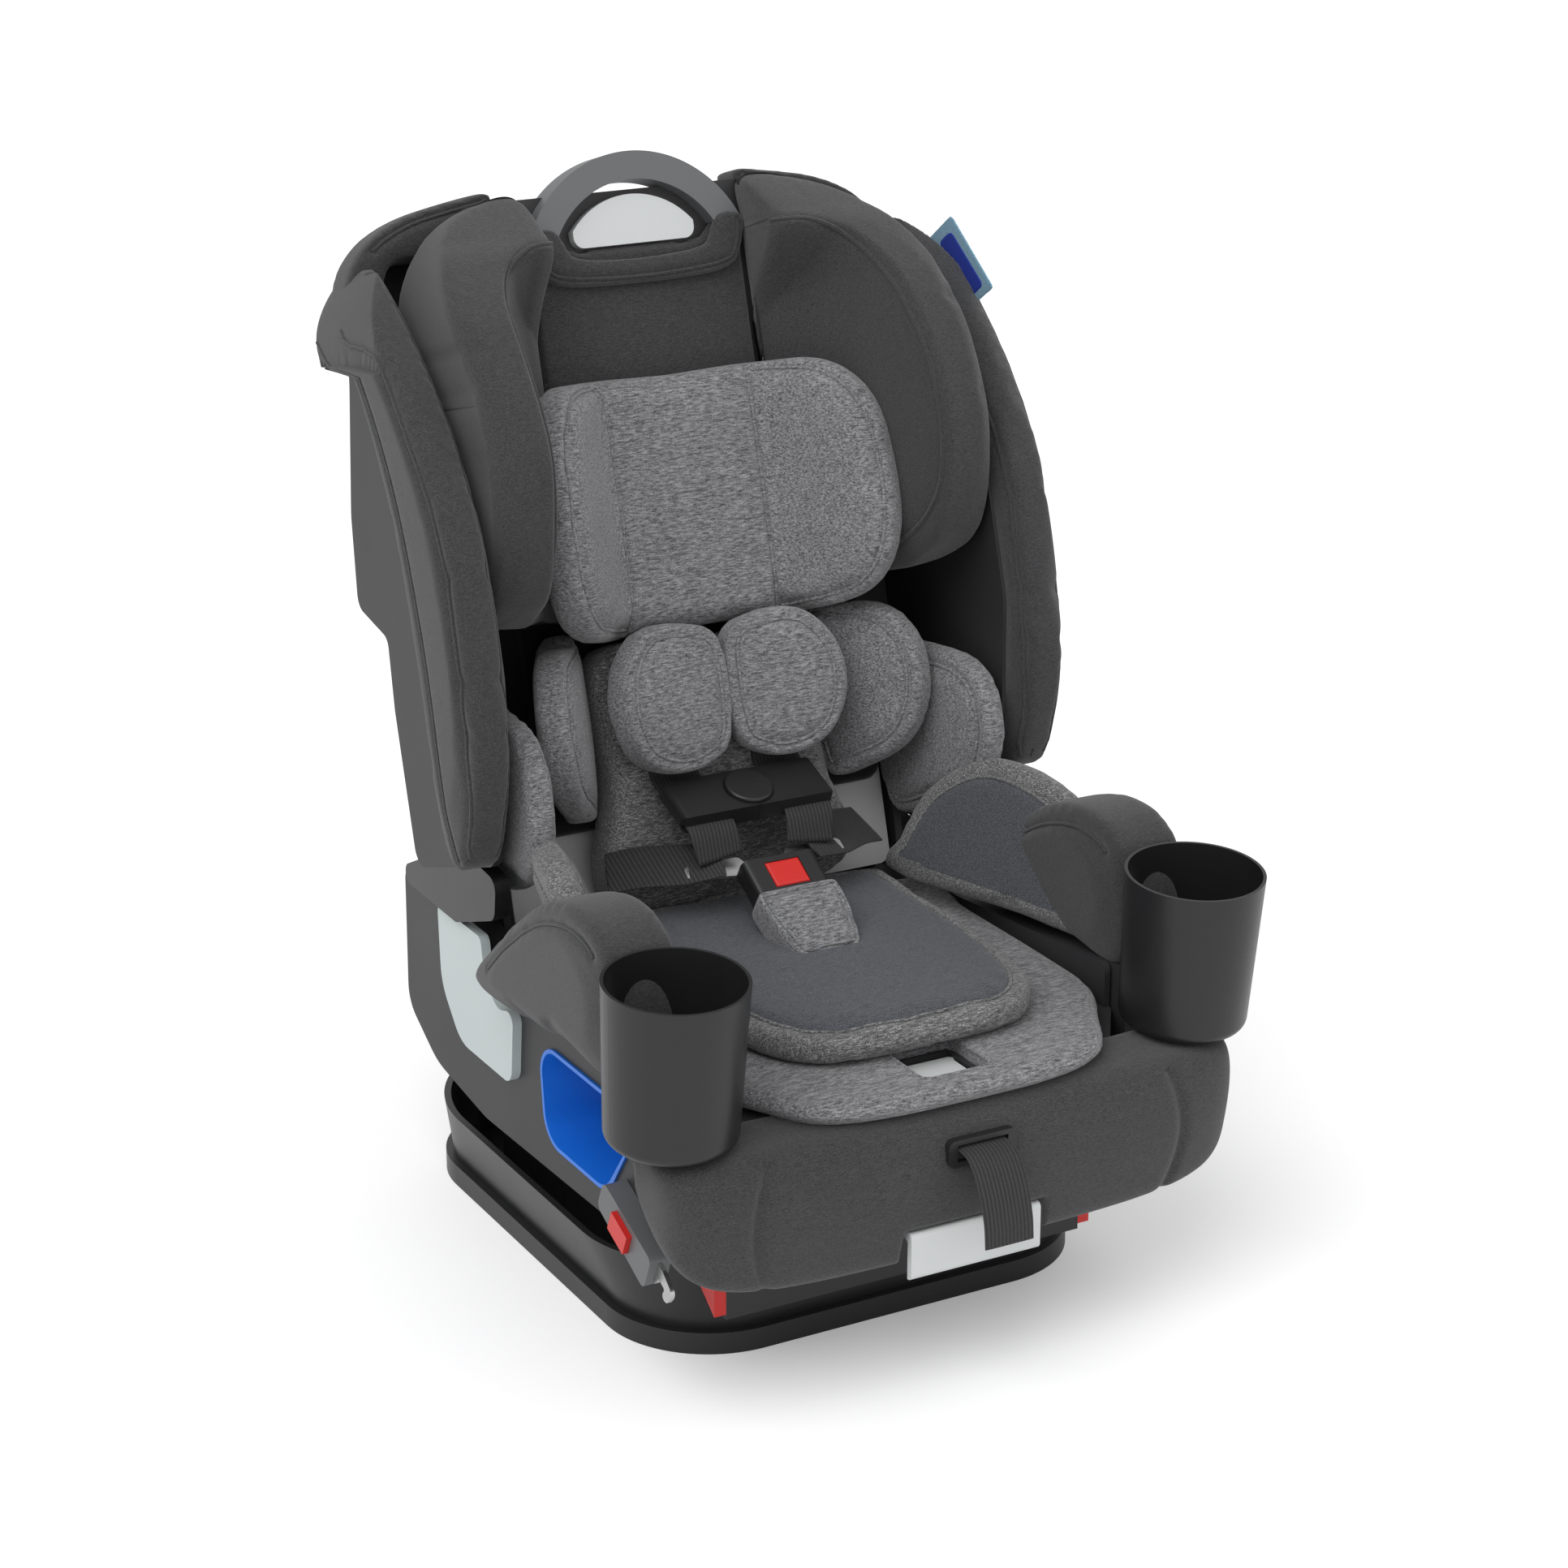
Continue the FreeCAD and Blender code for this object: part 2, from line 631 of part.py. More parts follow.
# Pads of the insert that stand up beside the child's back
torso_pad = back_front([(-torso_half, -34, 10), (torso_half, -34, 10), (torso_half, torso_top, 24),
                        (-torso_half, torso_top, 24)], 0, torso_thickness)
torso_pad = torso_pad.cut([lap_insert, seat_pad, lap_wing_right, mirrored(lap_wing_right)])
parts["torso_pad"] = torso_pad
torso_plan = [(93, 0), (107, 80, 10), (128, 94, 10), (143, 80, 10), (150, 0)]
torso_side = [(0, 44), (60, 46, 24), (90, 86, 40), (88, 140, 34), (50, 160, 20), (0, 160)]
torso_wing = back_plan(torso_plan, 40, 165).common(back_side(torso_side, 90, 160))
torso_wing = torso_wing.cut([lap_wing_right, torso_pad, lap_insert])
parts["torso_wings"] = pair(torso_wing)
hip_plan = [(151, 0), (156, 114, 8), (168, 130, 8), (184, 116, 8), (186, 0)]
hip_side = [(0, 6), (92, 4, 20), (130, 40, 30), (124, 92, 30), (60, 118, 20), (0, 118)]
hip_wing = back_plan(hip_plan, -2, 126).common(back_side(hip_side, 150, 190))
hip_wing = hip_wing.cut([lap_wing_right, armrest_right, torso_wing, back_shell, seat_shell, panel_right,
                         hinge_cover, back_lining])
parts["back_wing_pads"] = pair(hip_wing)

# Headrest: a plate, a centre panel, two big side wings and the carry handle
plate_face = gap + headrest_plate
headrest_outline = [(-150, headrest_low, 20), (150, headrest_low, 20), (150, headrest_high, 40),
                    (-150, headrest_high, 40)]
headrest_shell = back_front(headrest_outline, gap, plate_face)
carrier_half = channel_half - gap
carrier = back_front([(-carrier_half, carrier_low), (carrier_half, carrier_low),
                      (carrier_half, carrier_low + carrier_length), (-carrier_half, carrier_low + carrier_length)],
                     -back_depth + channel_wall + gap, gap)
parts["headrest_carrier"] = carrier
arch_back = plate_face - 12
arch_axis = vec(0, -arch_back - arch_depth, arch_centre)
arch_local = ring_sector(arch_outer, arch_inner, arch_depth)
arch_local.translate(arch_axis)
keep_above = block(-100, 100, -100, 100, arch_centre + 36, arch_centre + 100)
parts["handle_arch"] = on_back(arch_local.common(keep_above))
parts["headrest_shell"] = headrest_shell.cut(parts["handle_arch"])
arch_space = Part.makeCylinder(arch_outer, arch_depth + 10, arch_axis.add(vec(0, -1, 0)), vec(0, 1, 0))
arch_space = on_back(arch_space.common(block(-100, 100, -100, 100, arch_centre, arch_centre + 100)))
lever_plan = [(-lever_half, lever_low, 8), (lever_half, lever_low, 8), (lever_half, 480), (-lever_half, 480)]
lever_round = Part.makeCylinder(arch_inner - lever_travel - 2, 80, vec(0, -60, arch_centre), vec(0, 1, 0))
lever_front = plate_face + gap + headrest_panel
headrest_lever = back_front(lever_plan, plate_face + gap, lever_front).common(on_back(lever_round))
parts["headrest_lever"] = headrest_lever
lever_sweep = back_front([(-lever_half - 1, lever_low - 1, 8), (lever_half + 1, lever_low - 1, 8),
                          (lever_half + 1, 500), (-lever_half - 1, 500)], plate_face - 1, 60)
collar_plan = both_sides([(60, lever_low - 24, 24), (84, lever_low + 8, 10)])
collar = back_front(collar_plan, plate_face + headrest_panel, plate_face + headrest_panel + 7)
collar = collar.cut(lever_sweep).cut(parts["handle_arch"])
parts["handle_collar"] = collar
panel_plan = [(-headrest_panel_half, headrest_low, 10), (headrest_panel_half, headrest_low, 10),
              (headrest_panel_half, headrest_high - 6, 10), (-headrest_panel_half, headrest_high - 6, 10)]
headrest_panel_pad = back_front(panel_plan, plate_face, plate_face + headrest_panel)
parts["headrest_panel"] = headrest_panel_pad.cut(lever_sweep).cut(arch_space.common(parts["handle_arch"]))
nose_inner = headrest_half_width - nose_band
wing_plan = [(headrest_panel_half, plate_face), (headrest_panel_half, plate_face + headrest_panel),
             (nose_inner - 14, 60, 50), (nose_inner, headrest_nose - 8, 10), (nose_inner + 12, headrest_nose + 2, 8),
             (headrest_half_width - 8, headrest_nose + 2, 8), (headrest_half_width, headrest_nose - 14, 8),
             (headrest_half_width, plate_face)]
wing_outline = [(plate_face, headrest_low), (66, headrest_low + 2, 20), (128, 206, 30), (152, 254, 50),
                (headrest_nose, 304, 70), (132, 372, 70), (88, 426, 50), (36, 472, 16),
                (plate_face, headrest_high)]
wing_front = [(headrest_panel_half - 5, headrest_low - 1), (headrest_half_width, headrest_low - 1, 28),
              (headrest_half_width, headrest_high, headrest_round), (headrest_panel_half - 5, headrest_high)]
headrest_wing = back_plan(wing_plan, headrest_low - 5, headrest_high + 5)
headrest_wing = headrest_wing.common(back_side(wing_outline, 60, 200)).common(back_front(wing_front, 0, 200))
headrest_wing = headrest_wing.cut(parts["handle_arch"])
parts["headrest_wing_right"] = headrest_wing
parts["headrest_wing_left"] = mirrored(headrest_wing)

# Head pillow with two forward lobes, and the two-lobed neck pillow below it
pillow_back = plate_face + headrest_panel
pillow_plan = both_sides([(86, pillow_back, 4), (143, 108, 12), (134, 130, 8), (118, 126, 10),
                          (pillow_half, pillow_back + pillow_depth, 30)])
pillow_side = [(pillow_back, pillow_low), (50, pillow_low, 16), (112, pillow_low + 10, 40), (134, 216, 40),
               (134, 290, 40), (100, 336, 40), (54, pillow_high, 20), (pillow_back, pillow_high - 2)]
head_pillow = back_plan(pillow_plan, pillow_low - 5, pillow_high + 5).common(back_side(pillow_side, -160, 160))
head_pillow = head_pillow.cut([headrest_wing, mirrored(headrest_wing)])
parts["head_pillow"] = head_pillow
lobe_outline = [(1, neck_low + 14, 10), (20, neck_low, 16), (neck_lobe - 24, neck_low + 2, 34),
                (neck_lobe, neck_low + 40, 40), (neck_lobe - 10, neck_high - 8, 38), (30, neck_high, 30),
                (1, neck_high - 12, 10)]
lobe = back_front(lobe_outline, neck_back, neck_back + neck_depth)
lobe_edges = [e for e in lobe.Edges if abs(e.BoundBox.DiagonalLength - neck_depth) > 1.0]
bridge = back_front([(-14, neck_low + 22, 8), (14, neck_low + 22, 8), (14, pillow_low - gap), (-14, pillow_low - gap)],
                    torso_thickness + 1, neck_back + neck_depth - 10)
lobe = lobe.makeFillet(9.0, lobe_edges)
neck_pillow = lobe.fuse([mirrored(lobe), bridge]).cut(head_pillow)
parts["neck_pillow"] = neck_pillow

# Harness webbing runs behind the neck pillow, through the chest clip and into the tongues
def back_point(forward, up):
    a = math.radians(back_angle)
    return (back_y + up * math.sin(a) - forward * math.cos(a), back_z + up * math.cos(a) + forward * math.sin(a))


def ribbon(points, thickness, x0, x1):
    """Webbing along (y, z) points, mitred at each turn, laid above the points' line."""
    upper = []
    count = len(points)
    for i in range(count):
        a = points[max(i - 1, 0)]
        b = points[i]
        c = points[min(i + 1, count - 1)]
        before = math.atan2(b[1] - a[1], b[0] - a[0]) if i > 0 else None
        after = math.atan2(c[1] - b[1], c[0] - b[0]) if i < count - 1 else None
        before = after if before is None else before
        after = before if after is None else after
        middle = (before + after) / 2
        reach = thickness / math.cos((after - before) / 2)
        upper.append((b[0] - reach * math.sin(middle), b[1] + reach * math.cos(middle)))
    return slab_x(list(points) + list(reversed(upper)), x0, x1)


strap_x0 = strap_offset - webbing_width / 2
strap_x1 = strap_offset + webbing_width / 2
strap_back = torso_thickness + 1
strap_points = [(-26, clip_z - 34), (-20, clip_z - 12), (clip_y, clip_z),
                back_point(strap_back + 4, neck_low - 4), back_point(strap_back, neck_low + 10),
                back_point(strap_back, torso_top)]
shoulder_right = ribbon(strap_points, webbing_thickness, strap_x0, strap_x1)
parts["shoulder_straps"] = pair(shoulder_right)


def clip_place(shape):
    return turned(shape, clip_slope, vec(0, clip_y, clip_z))


half_clip = block(gap / 2, clip_half_width, -clip_length / 2, clip_length / 2, -6, clip_thickness - 6)
round_edges = [e for e in half_clip.Edges if e.BoundBox.XMin > 1]
half_clip = half_clip.makeFillet(5.0, round_edges)
well = Part.makeCylinder(clip_button_radius + gap, 30, vec(0, 0, -1.5))
half_clip = half_clip.cut(well)
half_clip = clip_place(half_clip)
clip_slot = ribbon(strap_points[:4], webbing_thickness + 2 * skin, strap_x0 - gap, strap_x1 + gap)
clip_slot.translate(vec(0, 0, -skin))
half_clip = half_clip.cut(clip_slot)
half_clip = half_clip.cut(neck_pillow)
parts["chest_clip"] = pair(half_clip)
clip_button = Part.makeCylinder(clip_button_radius, clip_thickness - 6 + 1.5, vec(0, 0, clip_button_travel - 1.2))
clip_button = clip_button.makeFillet(2.0, [e for e in clip_button.Edges if e.BoundBox.ZMin > 5])
parts["chest_clip_button"] = clip_place(clip_button)

# Buckle on the crotch strap
def buckle_place(shape):
    return turned(shape, buckle_slope, vec(0, buckle_y, buckle_z))


housing_box = block(-buckle_half_width, buckle_half_width, -buckle_length / 2, buckle_length / 2,
                    -buckle_thickness / 2, buckle_thickness / 2)
housing_box = housing_box.makeFillet(5.0, [e for e in housing_box.Edges if e.BoundBox.YLength > 50])
button_hole = block(-button_half_width - gap, button_half_width + gap, button_y - gap,
                    button_y + button_length + gap, button_low - button_travel, buckle_thickness)
tongue_slot = block(-buckle_half_width + 3, buckle_half_width - 3, buckle_length / 2 - 22, buckle_length,
                    button_low - button_travel - 4.5, button_low - button_travel - 4.5 + tongue_thickness + 0.4)
buckle_housing = buckle_place(housing_box.cut(button_hole).cut(tongue_slot))
red_button = block(-button_half_width, button_half_width, button_y, button_y + button_length,
                   button_low + 0.5, buckle_thickness / 2 + 1)
red_button = red_button.makeFillet(2.0, [e for e in red_button.Edges if e.BoundBox.ZMin > 5])
parts["buckle_button"] = buckle_place(red_button)
tongue_z = button_low - button_travel - 4.3
tongue = slab_z([(gap / 2, buckle_length / 2 - 20), (buckle_half_width - 4, buckle_length / 2 - 20),
                 (buckle_half_width - 4, buckle_length / 2 + 2), (strap_x1 + 3, buckle_length / 2 + 8),
                 (strap_x1 + 3, buckle_length / 2 + 18, 4), (strap_x0 - 3, buckle_length / 2 + 18, 4)],
                tongue_z, tongue_z + tongue_thickness)
tongue_right = buckle_place(tongue).cut([shoulder_right, torso_pad])
parts["buckle_housing"] = buckle_housing
crotch_web = block(-webbing_width / 2, webbing_width / 2, -buckle_length / 2 - 32, -buckle_length / 2,
                   -6, -6 + webbing_thickness)
crotch_strap = buckle_place(crotch_web).cut([lap_insert, seat_pad])
cover_box = slab_z([(-23, -buckle_length / 2 - 28, 6), (23, -buckle_length / 2 - 28, 6),
                    (33, -buckle_length / 2 + 10, 8), (33, button_y - 2, 6), (-33, button_y - 2, 6),
                    (-33, -buckle_length / 2 + 10, 8)], -12, 14)
cover_gap = block(-buckle_half_width - skin, buckle_half_width + skin, -buckle_length / 2 - skin,
                  buckle_length, -buckle_thickness / 2 - skin, buckle_thickness / 2 + skin)
crotch_cover = buckle_place(cover_box.cut(cover_gap)).cut([lap_insert, crotch_strap, torso_pad])
parts["crotch_strap"] = crotch_strap
parts["crotch_cover"] = crotch_cover
lap_strap = slab_z([(strap_x0 + 6, 0), (strap_x1 + 5, -4), (108, 44), (104, 76), (strap_x0 + 8, 30)], 0,
                   webbing_thickness)
lap_strap = turned(lap_strap, -8, vec(0, -54, 278)).cut(
    [tongue_right, shoulder_right, torso_pad, lap_wing_right, torso_wing, half_clip, buckle_housing])
lap_solids = sorted(lap_strap.Solids, key=lambda s: s.Volume)
lap_strap = lap_solids[-1]
parts["lap_straps"] = pair(lap_strap)
parts["buckle_tongues"] = pair(tongue_right)
parts["lap_insert"] = lap_insert.cut([crotch_strap, buckle_housing])

# Release lever of the harness, in a frame on the pan
frame_half = release_half_width + 6
frame_plan = [(-frame_half, release_y - 26, 6), (frame_half, release_y - 26, 6),
              (frame_half, release_y + 26, 6), (-frame_half, release_y + 26, 6)]
release_frame = slab_z(frame_plan, pan_top, pan_top + 9).cut(
    block(-release_half_width - 2, release_half_width + 2, release_y - release_length / 2 - 2,
          release_y + release_length / 2 + 2, pan_top - 1, pan_top + 20))
release_axis_y = release_y + release_length / 2 - 4
release_axis_z = pan_top + 4.5
frame_pin_hole = Part.makeCylinder(release_pin + pin_gap, 2 * frame_half + 2,
                                   vec(-frame_half - 1, release_axis_y, release_axis_z), vec(1, 0, 0))
parts["release_frame"] = release_frame.cut(frame_pin_hole)
release_lever = block(-release_half_width, release_half_width, release_y - release_length / 2,
                      release_y + release_length / 2 - 1, release_axis_z - release_thickness / 2,
                      release_axis_z + release_thickness / 2)
release_lever = release_lever.makeFillet(2.5, [e for e in release_lever.Edges if e.BoundBox.XLength > release_half_width])
release_rod = Part.makeCylinder(release_pin, 2 * (release_half_width + 5),
                                vec(-release_half_width - 5, release_axis_y, release_axis_z), vec(1, 0, 0))
parts["harness_release_lever"] = release_lever.fuse(release_rod)

# Adjuster strap hanging from its slot in the boot
strap_run = [(-nose_front - 12, slot_z - 6), (-boot_front - 6, slot_z - 3), (-boot_front - 24, slot_z - 18),
             (-boot_front - 34, slot_z - 40), (-boot_front - 36, slot_z - 58)]
adjuster = ribbon(list(reversed(strap_run)), webbing_thickness, -adjuster_width / 2, adjuster_width / 2)
slot_block = slab_y([(-26, slot_z - 12, 5), (26, slot_z - 12, 5), (26, slot_z + 7, 5), (-26, slot_z + 7, 5)],
                    -boot_front - 2, -nose_front - gap)
adjuster_hole = block(-adjuster_width / 2 - gap, adjuster_width / 2 + gap, -boot_front - 10, -nose_front,
                      slot_z - 8.5, slot_z + 3.5)
parts["boot_cover"] = boot.cut(slot_block)
parts["adjuster_bezel"] = slot_block.cut(adjuster_hole)
parts["adjuster_strap"] = adjuster

# Recline handle in the notch of the boot, sliding forward on a tongue
handle_top = notch_top - 2
handle_low = handle_top - recline_height - 8
recline_handle = slab_x([(-boot_front + 4, handle_low, 4), (-boot_front + 4, handle_top, 4),
                         (-nose_front - 1, handle_top), (-nose_front - 1, handle_top - 5),
                         (-boot_front + 9, handle_top - 6, 3), (-boot_front + 9, handle_low)],
                        -recline_half_width, recline_half_width)
handle_tongue = block(-30, 30, -nose_front - 2, -nose_front + 50, handle_top - 5, handle_top - 1)
tongue_hole = block(-30 - gap, 30 + gap, -nose_front - 15, -nose_front + 20, handle_top - 5 - gap,
                    handle_top - 1 + gap)
parts["seat_shell"] = parts["seat_shell"].cut(tongue_hole).removeSplitter()
parts["recline_handle"] = recline_handle.fuse(handle_tongue).removeSplitter()
spring_guide = block(-34, 34, -nose_front + 10, -nose_front + 44, handle_top - 9, handle_top + 3).cut(
    block(-30 - gap, 30 + gap, -nose_front, -nose_front + 60, handle_top - 5 - gap, handle_top - 1 + gap))
guide_hanger = block(-34, 34, -nose_front + 10, -nose_front + 44, handle_top + 3, pan_top - shell_wall)
parts["handle_guide"] = spring_guide.fuse(guide_hanger).removeSplitter()


# Lower anchor connectors, stowed on bars below the cup holders
def connector_place(shape):
    moved = shape.copy()
    moved.rotate(vec(0, 0, 0), vec(1, 0, 0), connector_slope)
    moved.translate(vec(panel_outer + gap + connector_thickness / 2, connector_y, connector_z))
    return moved


half_t = connector_thickness / 2
connector = slab_x([(-connector_length / 2, -connector_width / 2 + 3, 5), (connector_length / 2, -12, 6),
                    (connector_length / 2, 12, 6), (-connector_length / 2, connector_width / 2 - 3, 5)],
                   -half_t, half_t)
hook_slot = block(-hook_thickness / 2 - pin_gap, hook_thickness / 2 + pin_gap, -connector_length / 2 - 1,
                  -connector_length / 2 + 24, -9, 9)
anchor_hole = block(half_t - 5, half_t + 5, -10 - gap, 14 + gap, -8 - gap, 8 + gap)
connector = connector.cut(hook_slot).cut(anchor_hole)
hook = slab_x([(-connector_length / 2 + 23, -9), (-connector_length / 2 + 23, 9), (-connector_length / 2 - 6, 9, 4),
               (-connector_length / 2 - 24, 4, 6), (-connector_length / 2 - 20, -9, 5),
               (-connector_length / 2 - 12, -9, 3), (-connector_length / 2 - 14, -1, 2),
               (-connector_length / 2 - 4, -1, 2), (-connector_length / 2 - 2, -9, 2)],
              -hook_thickness / 2, hook_thickness / 2)
anchor_button = block(half_t - 0.5, half_t + 4, -10, 14, -8, 8)
connector_right = connector_place(connector)
hook_right = connector_place(hook)
button_right = connector_place(anchor_button)
parts["anchor_connectors"] = pair(connector_right)
parts["anchor_hooks"] = pair(hook_right)
parts["anchor_button_right"] = button_right
parts["anchor_button_left"] = mirrored(button_right)

# Woven tag sewn into the right wing's seam
tag = back_side([(30, 416, 3), (68, 430, 3), (114, 372, 3), (76, 360, 3)], wing_x0 + wing_thickness - 4,
                wing_x0 + wing_thickness - 2.8)
tag = tag.cut(outer_wing)
parts["fabric_tag"] = sorted(tag.Solids, key=lambda s: s.Volume)[-1]

os.makedirs("parts", exist_ok=True)
for name in sorted(parts):
    shape = parts[name]
    if not shape.isValid():
        print("invalid:", name)
    if shape.ShapeType != "Solid" and len(shape.Solids) == 1:
        shape = shape.Solids[0]
    shape.exportStep("parts/" + name + ".step")
print(len(parts), "nodes")
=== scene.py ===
import json
import math

import bpy
import numpy as np
from mathutils import Euler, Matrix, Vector
from mathutils.bvhtree import BVHTree


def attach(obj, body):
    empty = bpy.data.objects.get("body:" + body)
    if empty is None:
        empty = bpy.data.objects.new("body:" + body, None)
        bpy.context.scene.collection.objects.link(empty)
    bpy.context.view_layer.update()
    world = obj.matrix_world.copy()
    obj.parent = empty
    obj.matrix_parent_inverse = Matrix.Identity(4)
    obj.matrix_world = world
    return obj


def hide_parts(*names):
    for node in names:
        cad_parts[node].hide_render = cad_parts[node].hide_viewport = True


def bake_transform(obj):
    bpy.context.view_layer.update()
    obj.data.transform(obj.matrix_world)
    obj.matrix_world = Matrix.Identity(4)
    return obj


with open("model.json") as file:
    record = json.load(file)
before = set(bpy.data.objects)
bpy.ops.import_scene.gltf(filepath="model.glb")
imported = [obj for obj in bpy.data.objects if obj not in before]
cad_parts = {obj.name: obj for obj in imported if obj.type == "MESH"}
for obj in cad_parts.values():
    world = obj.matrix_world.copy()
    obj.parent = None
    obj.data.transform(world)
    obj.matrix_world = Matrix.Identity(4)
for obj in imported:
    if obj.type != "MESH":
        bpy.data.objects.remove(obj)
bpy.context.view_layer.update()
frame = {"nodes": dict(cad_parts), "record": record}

MM = 0.001
PHOTO_PIXELS, FOCAL_PIXELS = 1932.0, 4500.0
SENSOR_WIDTH = 36.0
CAMERA_PLACE = (-1.1622, -2.1495, 1.1964)
CAMERA_DOWN, CAMERA_TURN = 19.618, -29.003
WORLD_LEVEL, FLOOR_LIFT = 0.62, 0.2
BACK_ANGLE = math.radians(16.0)
BACK_Y, BACK_Z = 60.0, 260.0
HANDLE_NOTCH, NOTCH_TOP = 55.0, 122.0


# Places in millimetres, for one point or for arrays of them
def seat(x, y, z):
    return np.stack(np.broadcast_arrays(x, y, z), -1).astype(float)


def back(x, up, forward):
    """A point given across the back, up it and forward of it."""
    c, s = math.cos(BACK_ANGLE), math.sin(BACK_ANGLE)
    return seat(x, BACK_Y + up * s - forward * c, BACK_Z + up * c + forward * s)


# Camera, light and floor
def add_camera():
    data = bpy.data.cameras.new("camera")
    data.lens = FOCAL_PIXELS / PHOTO_PIXELS * SENSOR_WIDTH
    data.sensor_width = SENSOR_WIDTH
    data.clip_end = 50.0
    cam = bpy.data.objects.new("camera", data)
    cam.location = CAMERA_PLACE
    cam.rotation_euler = Euler((math.radians(90.0 - CAMERA_DOWN), 0.0, math.radians(CAMERA_TURN)))
    bpy.context.scene.collection.objects.link(cam)
    bpy.context.scene.camera = cam


class Nodes:
    """Builds one material's node tree from Python expressions."""

    def __init__(self, name):
        self.material = bpy.data.materials.new(name)
        self.material.use_nodes = True
        self.tree = self.material.node_tree
        self.tree.nodes.clear()

    def add(self, kind, settings=None, **inputs):
        node = self.tree.nodes.new(kind)
        for key, value in (settings or {}).items():
            if key == "stops":
                ramp = node.color_ramp
                while len(ramp.elements) < len(value):
                    ramp.elements.new(0.5)
                for element, (place, colour) in zip(ramp.elements, value):
                    element.position = place
                    element.color = (*colour, 1.0)
            else:
                setattr(node, key, value)
        for key, value in inputs.items():
            socket = node.inputs[int(key[1:])] if key[1:].isdigit() else node.inputs[key.replace("_", " ")]
            if isinstance(value, Wire):
                self.tree.links.new(value.socket, socket)
            else:
                socket.default_value = value
        return node

    def wire(self, node, output=0):
        return Wire(self, node.outputs[output])

    def object_place(self, stretch=(1.0, 1.0, 1.0)):
        place = self.wire(self.add("ShaderNodeTexCoord"), "Object")
        return self.wire(self.add("ShaderNodeMapping", Vector=place, Scale=stretch))

    def noise(self, scale, stretch=(1.0, 1.0, 1.0), detail=2.0, rough=0.5):
        node = self.add("ShaderNodeTexNoise", Vector=self.object_place(stretch), Scale=scale,
                        Detail=detail, Roughness=rough)
        return self.wire(node, 0)

    def ramp(self, value, stops):
        return self.wire(self.add("ShaderNodeValToRGB", {"stops": stops}, Fac=value))

    def blend(self, mask, first, second):
        node = self.add("ShaderNodeMix", {"data_type": "RGBA"}, i0=mask, i6=first, i7=second)
        return self.wire(node, 2)

    def attribute(self, name):
        return self.wire(self.add("ShaderNodeAttribute", {"attribute_name": name}), "Fac")

    def bump(self, height, strength, distance):
        return self.wire(self.add("ShaderNodeBump", Strength=strength, Distance=distance, Height=height))

    def surface(self, colour, roughness=0.5, normal=None, **constants):
        shader = self.add("ShaderNodeBsdfPrincipled", Base_Color=colour, Roughness=roughness, **constants)
        if normal is not None:
            self.tree.links.new(normal.socket, shader.inputs["Normal"])
        out = self.add("ShaderNodeOutputMaterial")
        self.tree.links.new(shader.outputs[0], out.inputs[0])
        return self.material


class Wire:
    """A socket that takes part in sums."""

    def __init__(self, nodes, socket):
        self.nodes = nodes
        self.socket = socket

    def maths(self, operation, first, second):
        node = self.nodes.add("ShaderNodeMath", {"operation": operation}, i0=first, i1=second)
        return self.nodes.wire(node)

    def __add__(self, other):
        return self.maths("ADD", self, other)

    def __mul__(self, other):
        return self.maths("MULTIPLY", self, other)

    def above(self, limit):
        return self.maths("GREATER_THAN", self, limit)


def grey(value, tint=(1.0, 1.0, 1.0)):
    return tuple(value * t for t in tint)


def knit(name, dark, light, streak, grain, cover=0.5, bump=0.5, tint=(1.0, 1.0, 1.04)):
    """Heather knit: short yarn streaks across, with a fine loop grain on top."""
    n = Nodes(name)
    yarn = n.noise(1.0, (streak, streak * 3.5, streak * 5.5), 3.0, 0.65)
    loop = n.noise(1.0, (grain, grain, grain * 1.3), 2.0, 0.6)
    mix = yarn * cover + loop * (1.0 - cover)
    colour = n.ramp(mix, [(0.36, grey(dark, tint)), (0.5, grey((dark + light) * 0.45, tint)),
                          (0.64, grey(light, tint))])
    soft = n.noise(14.0, detail=1.0)
    colour = n.blend(soft * 0.25, colour, (*grey(dark * 0.8, tint), 1.0))
    height = loop + yarn * 0.6
    return n.surface(colour, 0.92, n.bump(height, bump, 0.0012), Sheen_Weight=0.25, Sheen_Roughness=0.5,
                     Specular_IOR_Level=0.2)


def plastic(name, colour, roughness, grain=900.0, bump=0.12):
    """Moulded plastic: a fine spark texture, with gloss that varies a little over the surface."""
    n = Nodes(name)
    spark = n.noise(grain, detail=2.0)
    cloud = n.noise(9.0, detail=3.0)
    rough = cloud * 0.12 + (roughness - 0.06)
    tone = n.blend(cloud * 0.35, (*colour, 1.0), (*[c * 0.82 for c in colour], 1.0))
    return n.surface(tone, rough, n.bump(spark, bump, 0.0004))


def webbing(name):
    """Flat woven webbing with ribs along its length."""
    n = Nodes(name)
    place = n.object_place((1.0, 1.0, 1.0))
    ribs = n.wire(n.add("ShaderNodeTexWave", {"wave_type": "BANDS", "bands_direction": "X"}, Vector=place,
                        Scale=110.0, Distortion=0.6, Detail=1.0), "Fac")
    threads = n.noise(1.0, (900.0, 500.0, 900.0), 1.0)
    colour = n.ramp(ribs * 0.5 + threads * 0.5, [(0.3, grey(0.008)), (0.7, grey(0.03))])
    return n.surface(colour, 0.75, n.bump(ribs * 0.6 + threads * 0.4, 0.5, 0.0006), Sheen_Weight=0.1)


def metal(name):
    n = Nodes(name)
    brushed = n.noise(1.0, (60.0, 900.0, 900.0), 2.0)
    return n.surface(n.ramp(brushed, [(0.3, grey(0.5)), (0.7, grey(0.68))]), brushed * 0.2 + 0.25,
                     n.bump(brushed, 0.1, 0.0003), Metallic=1.0)


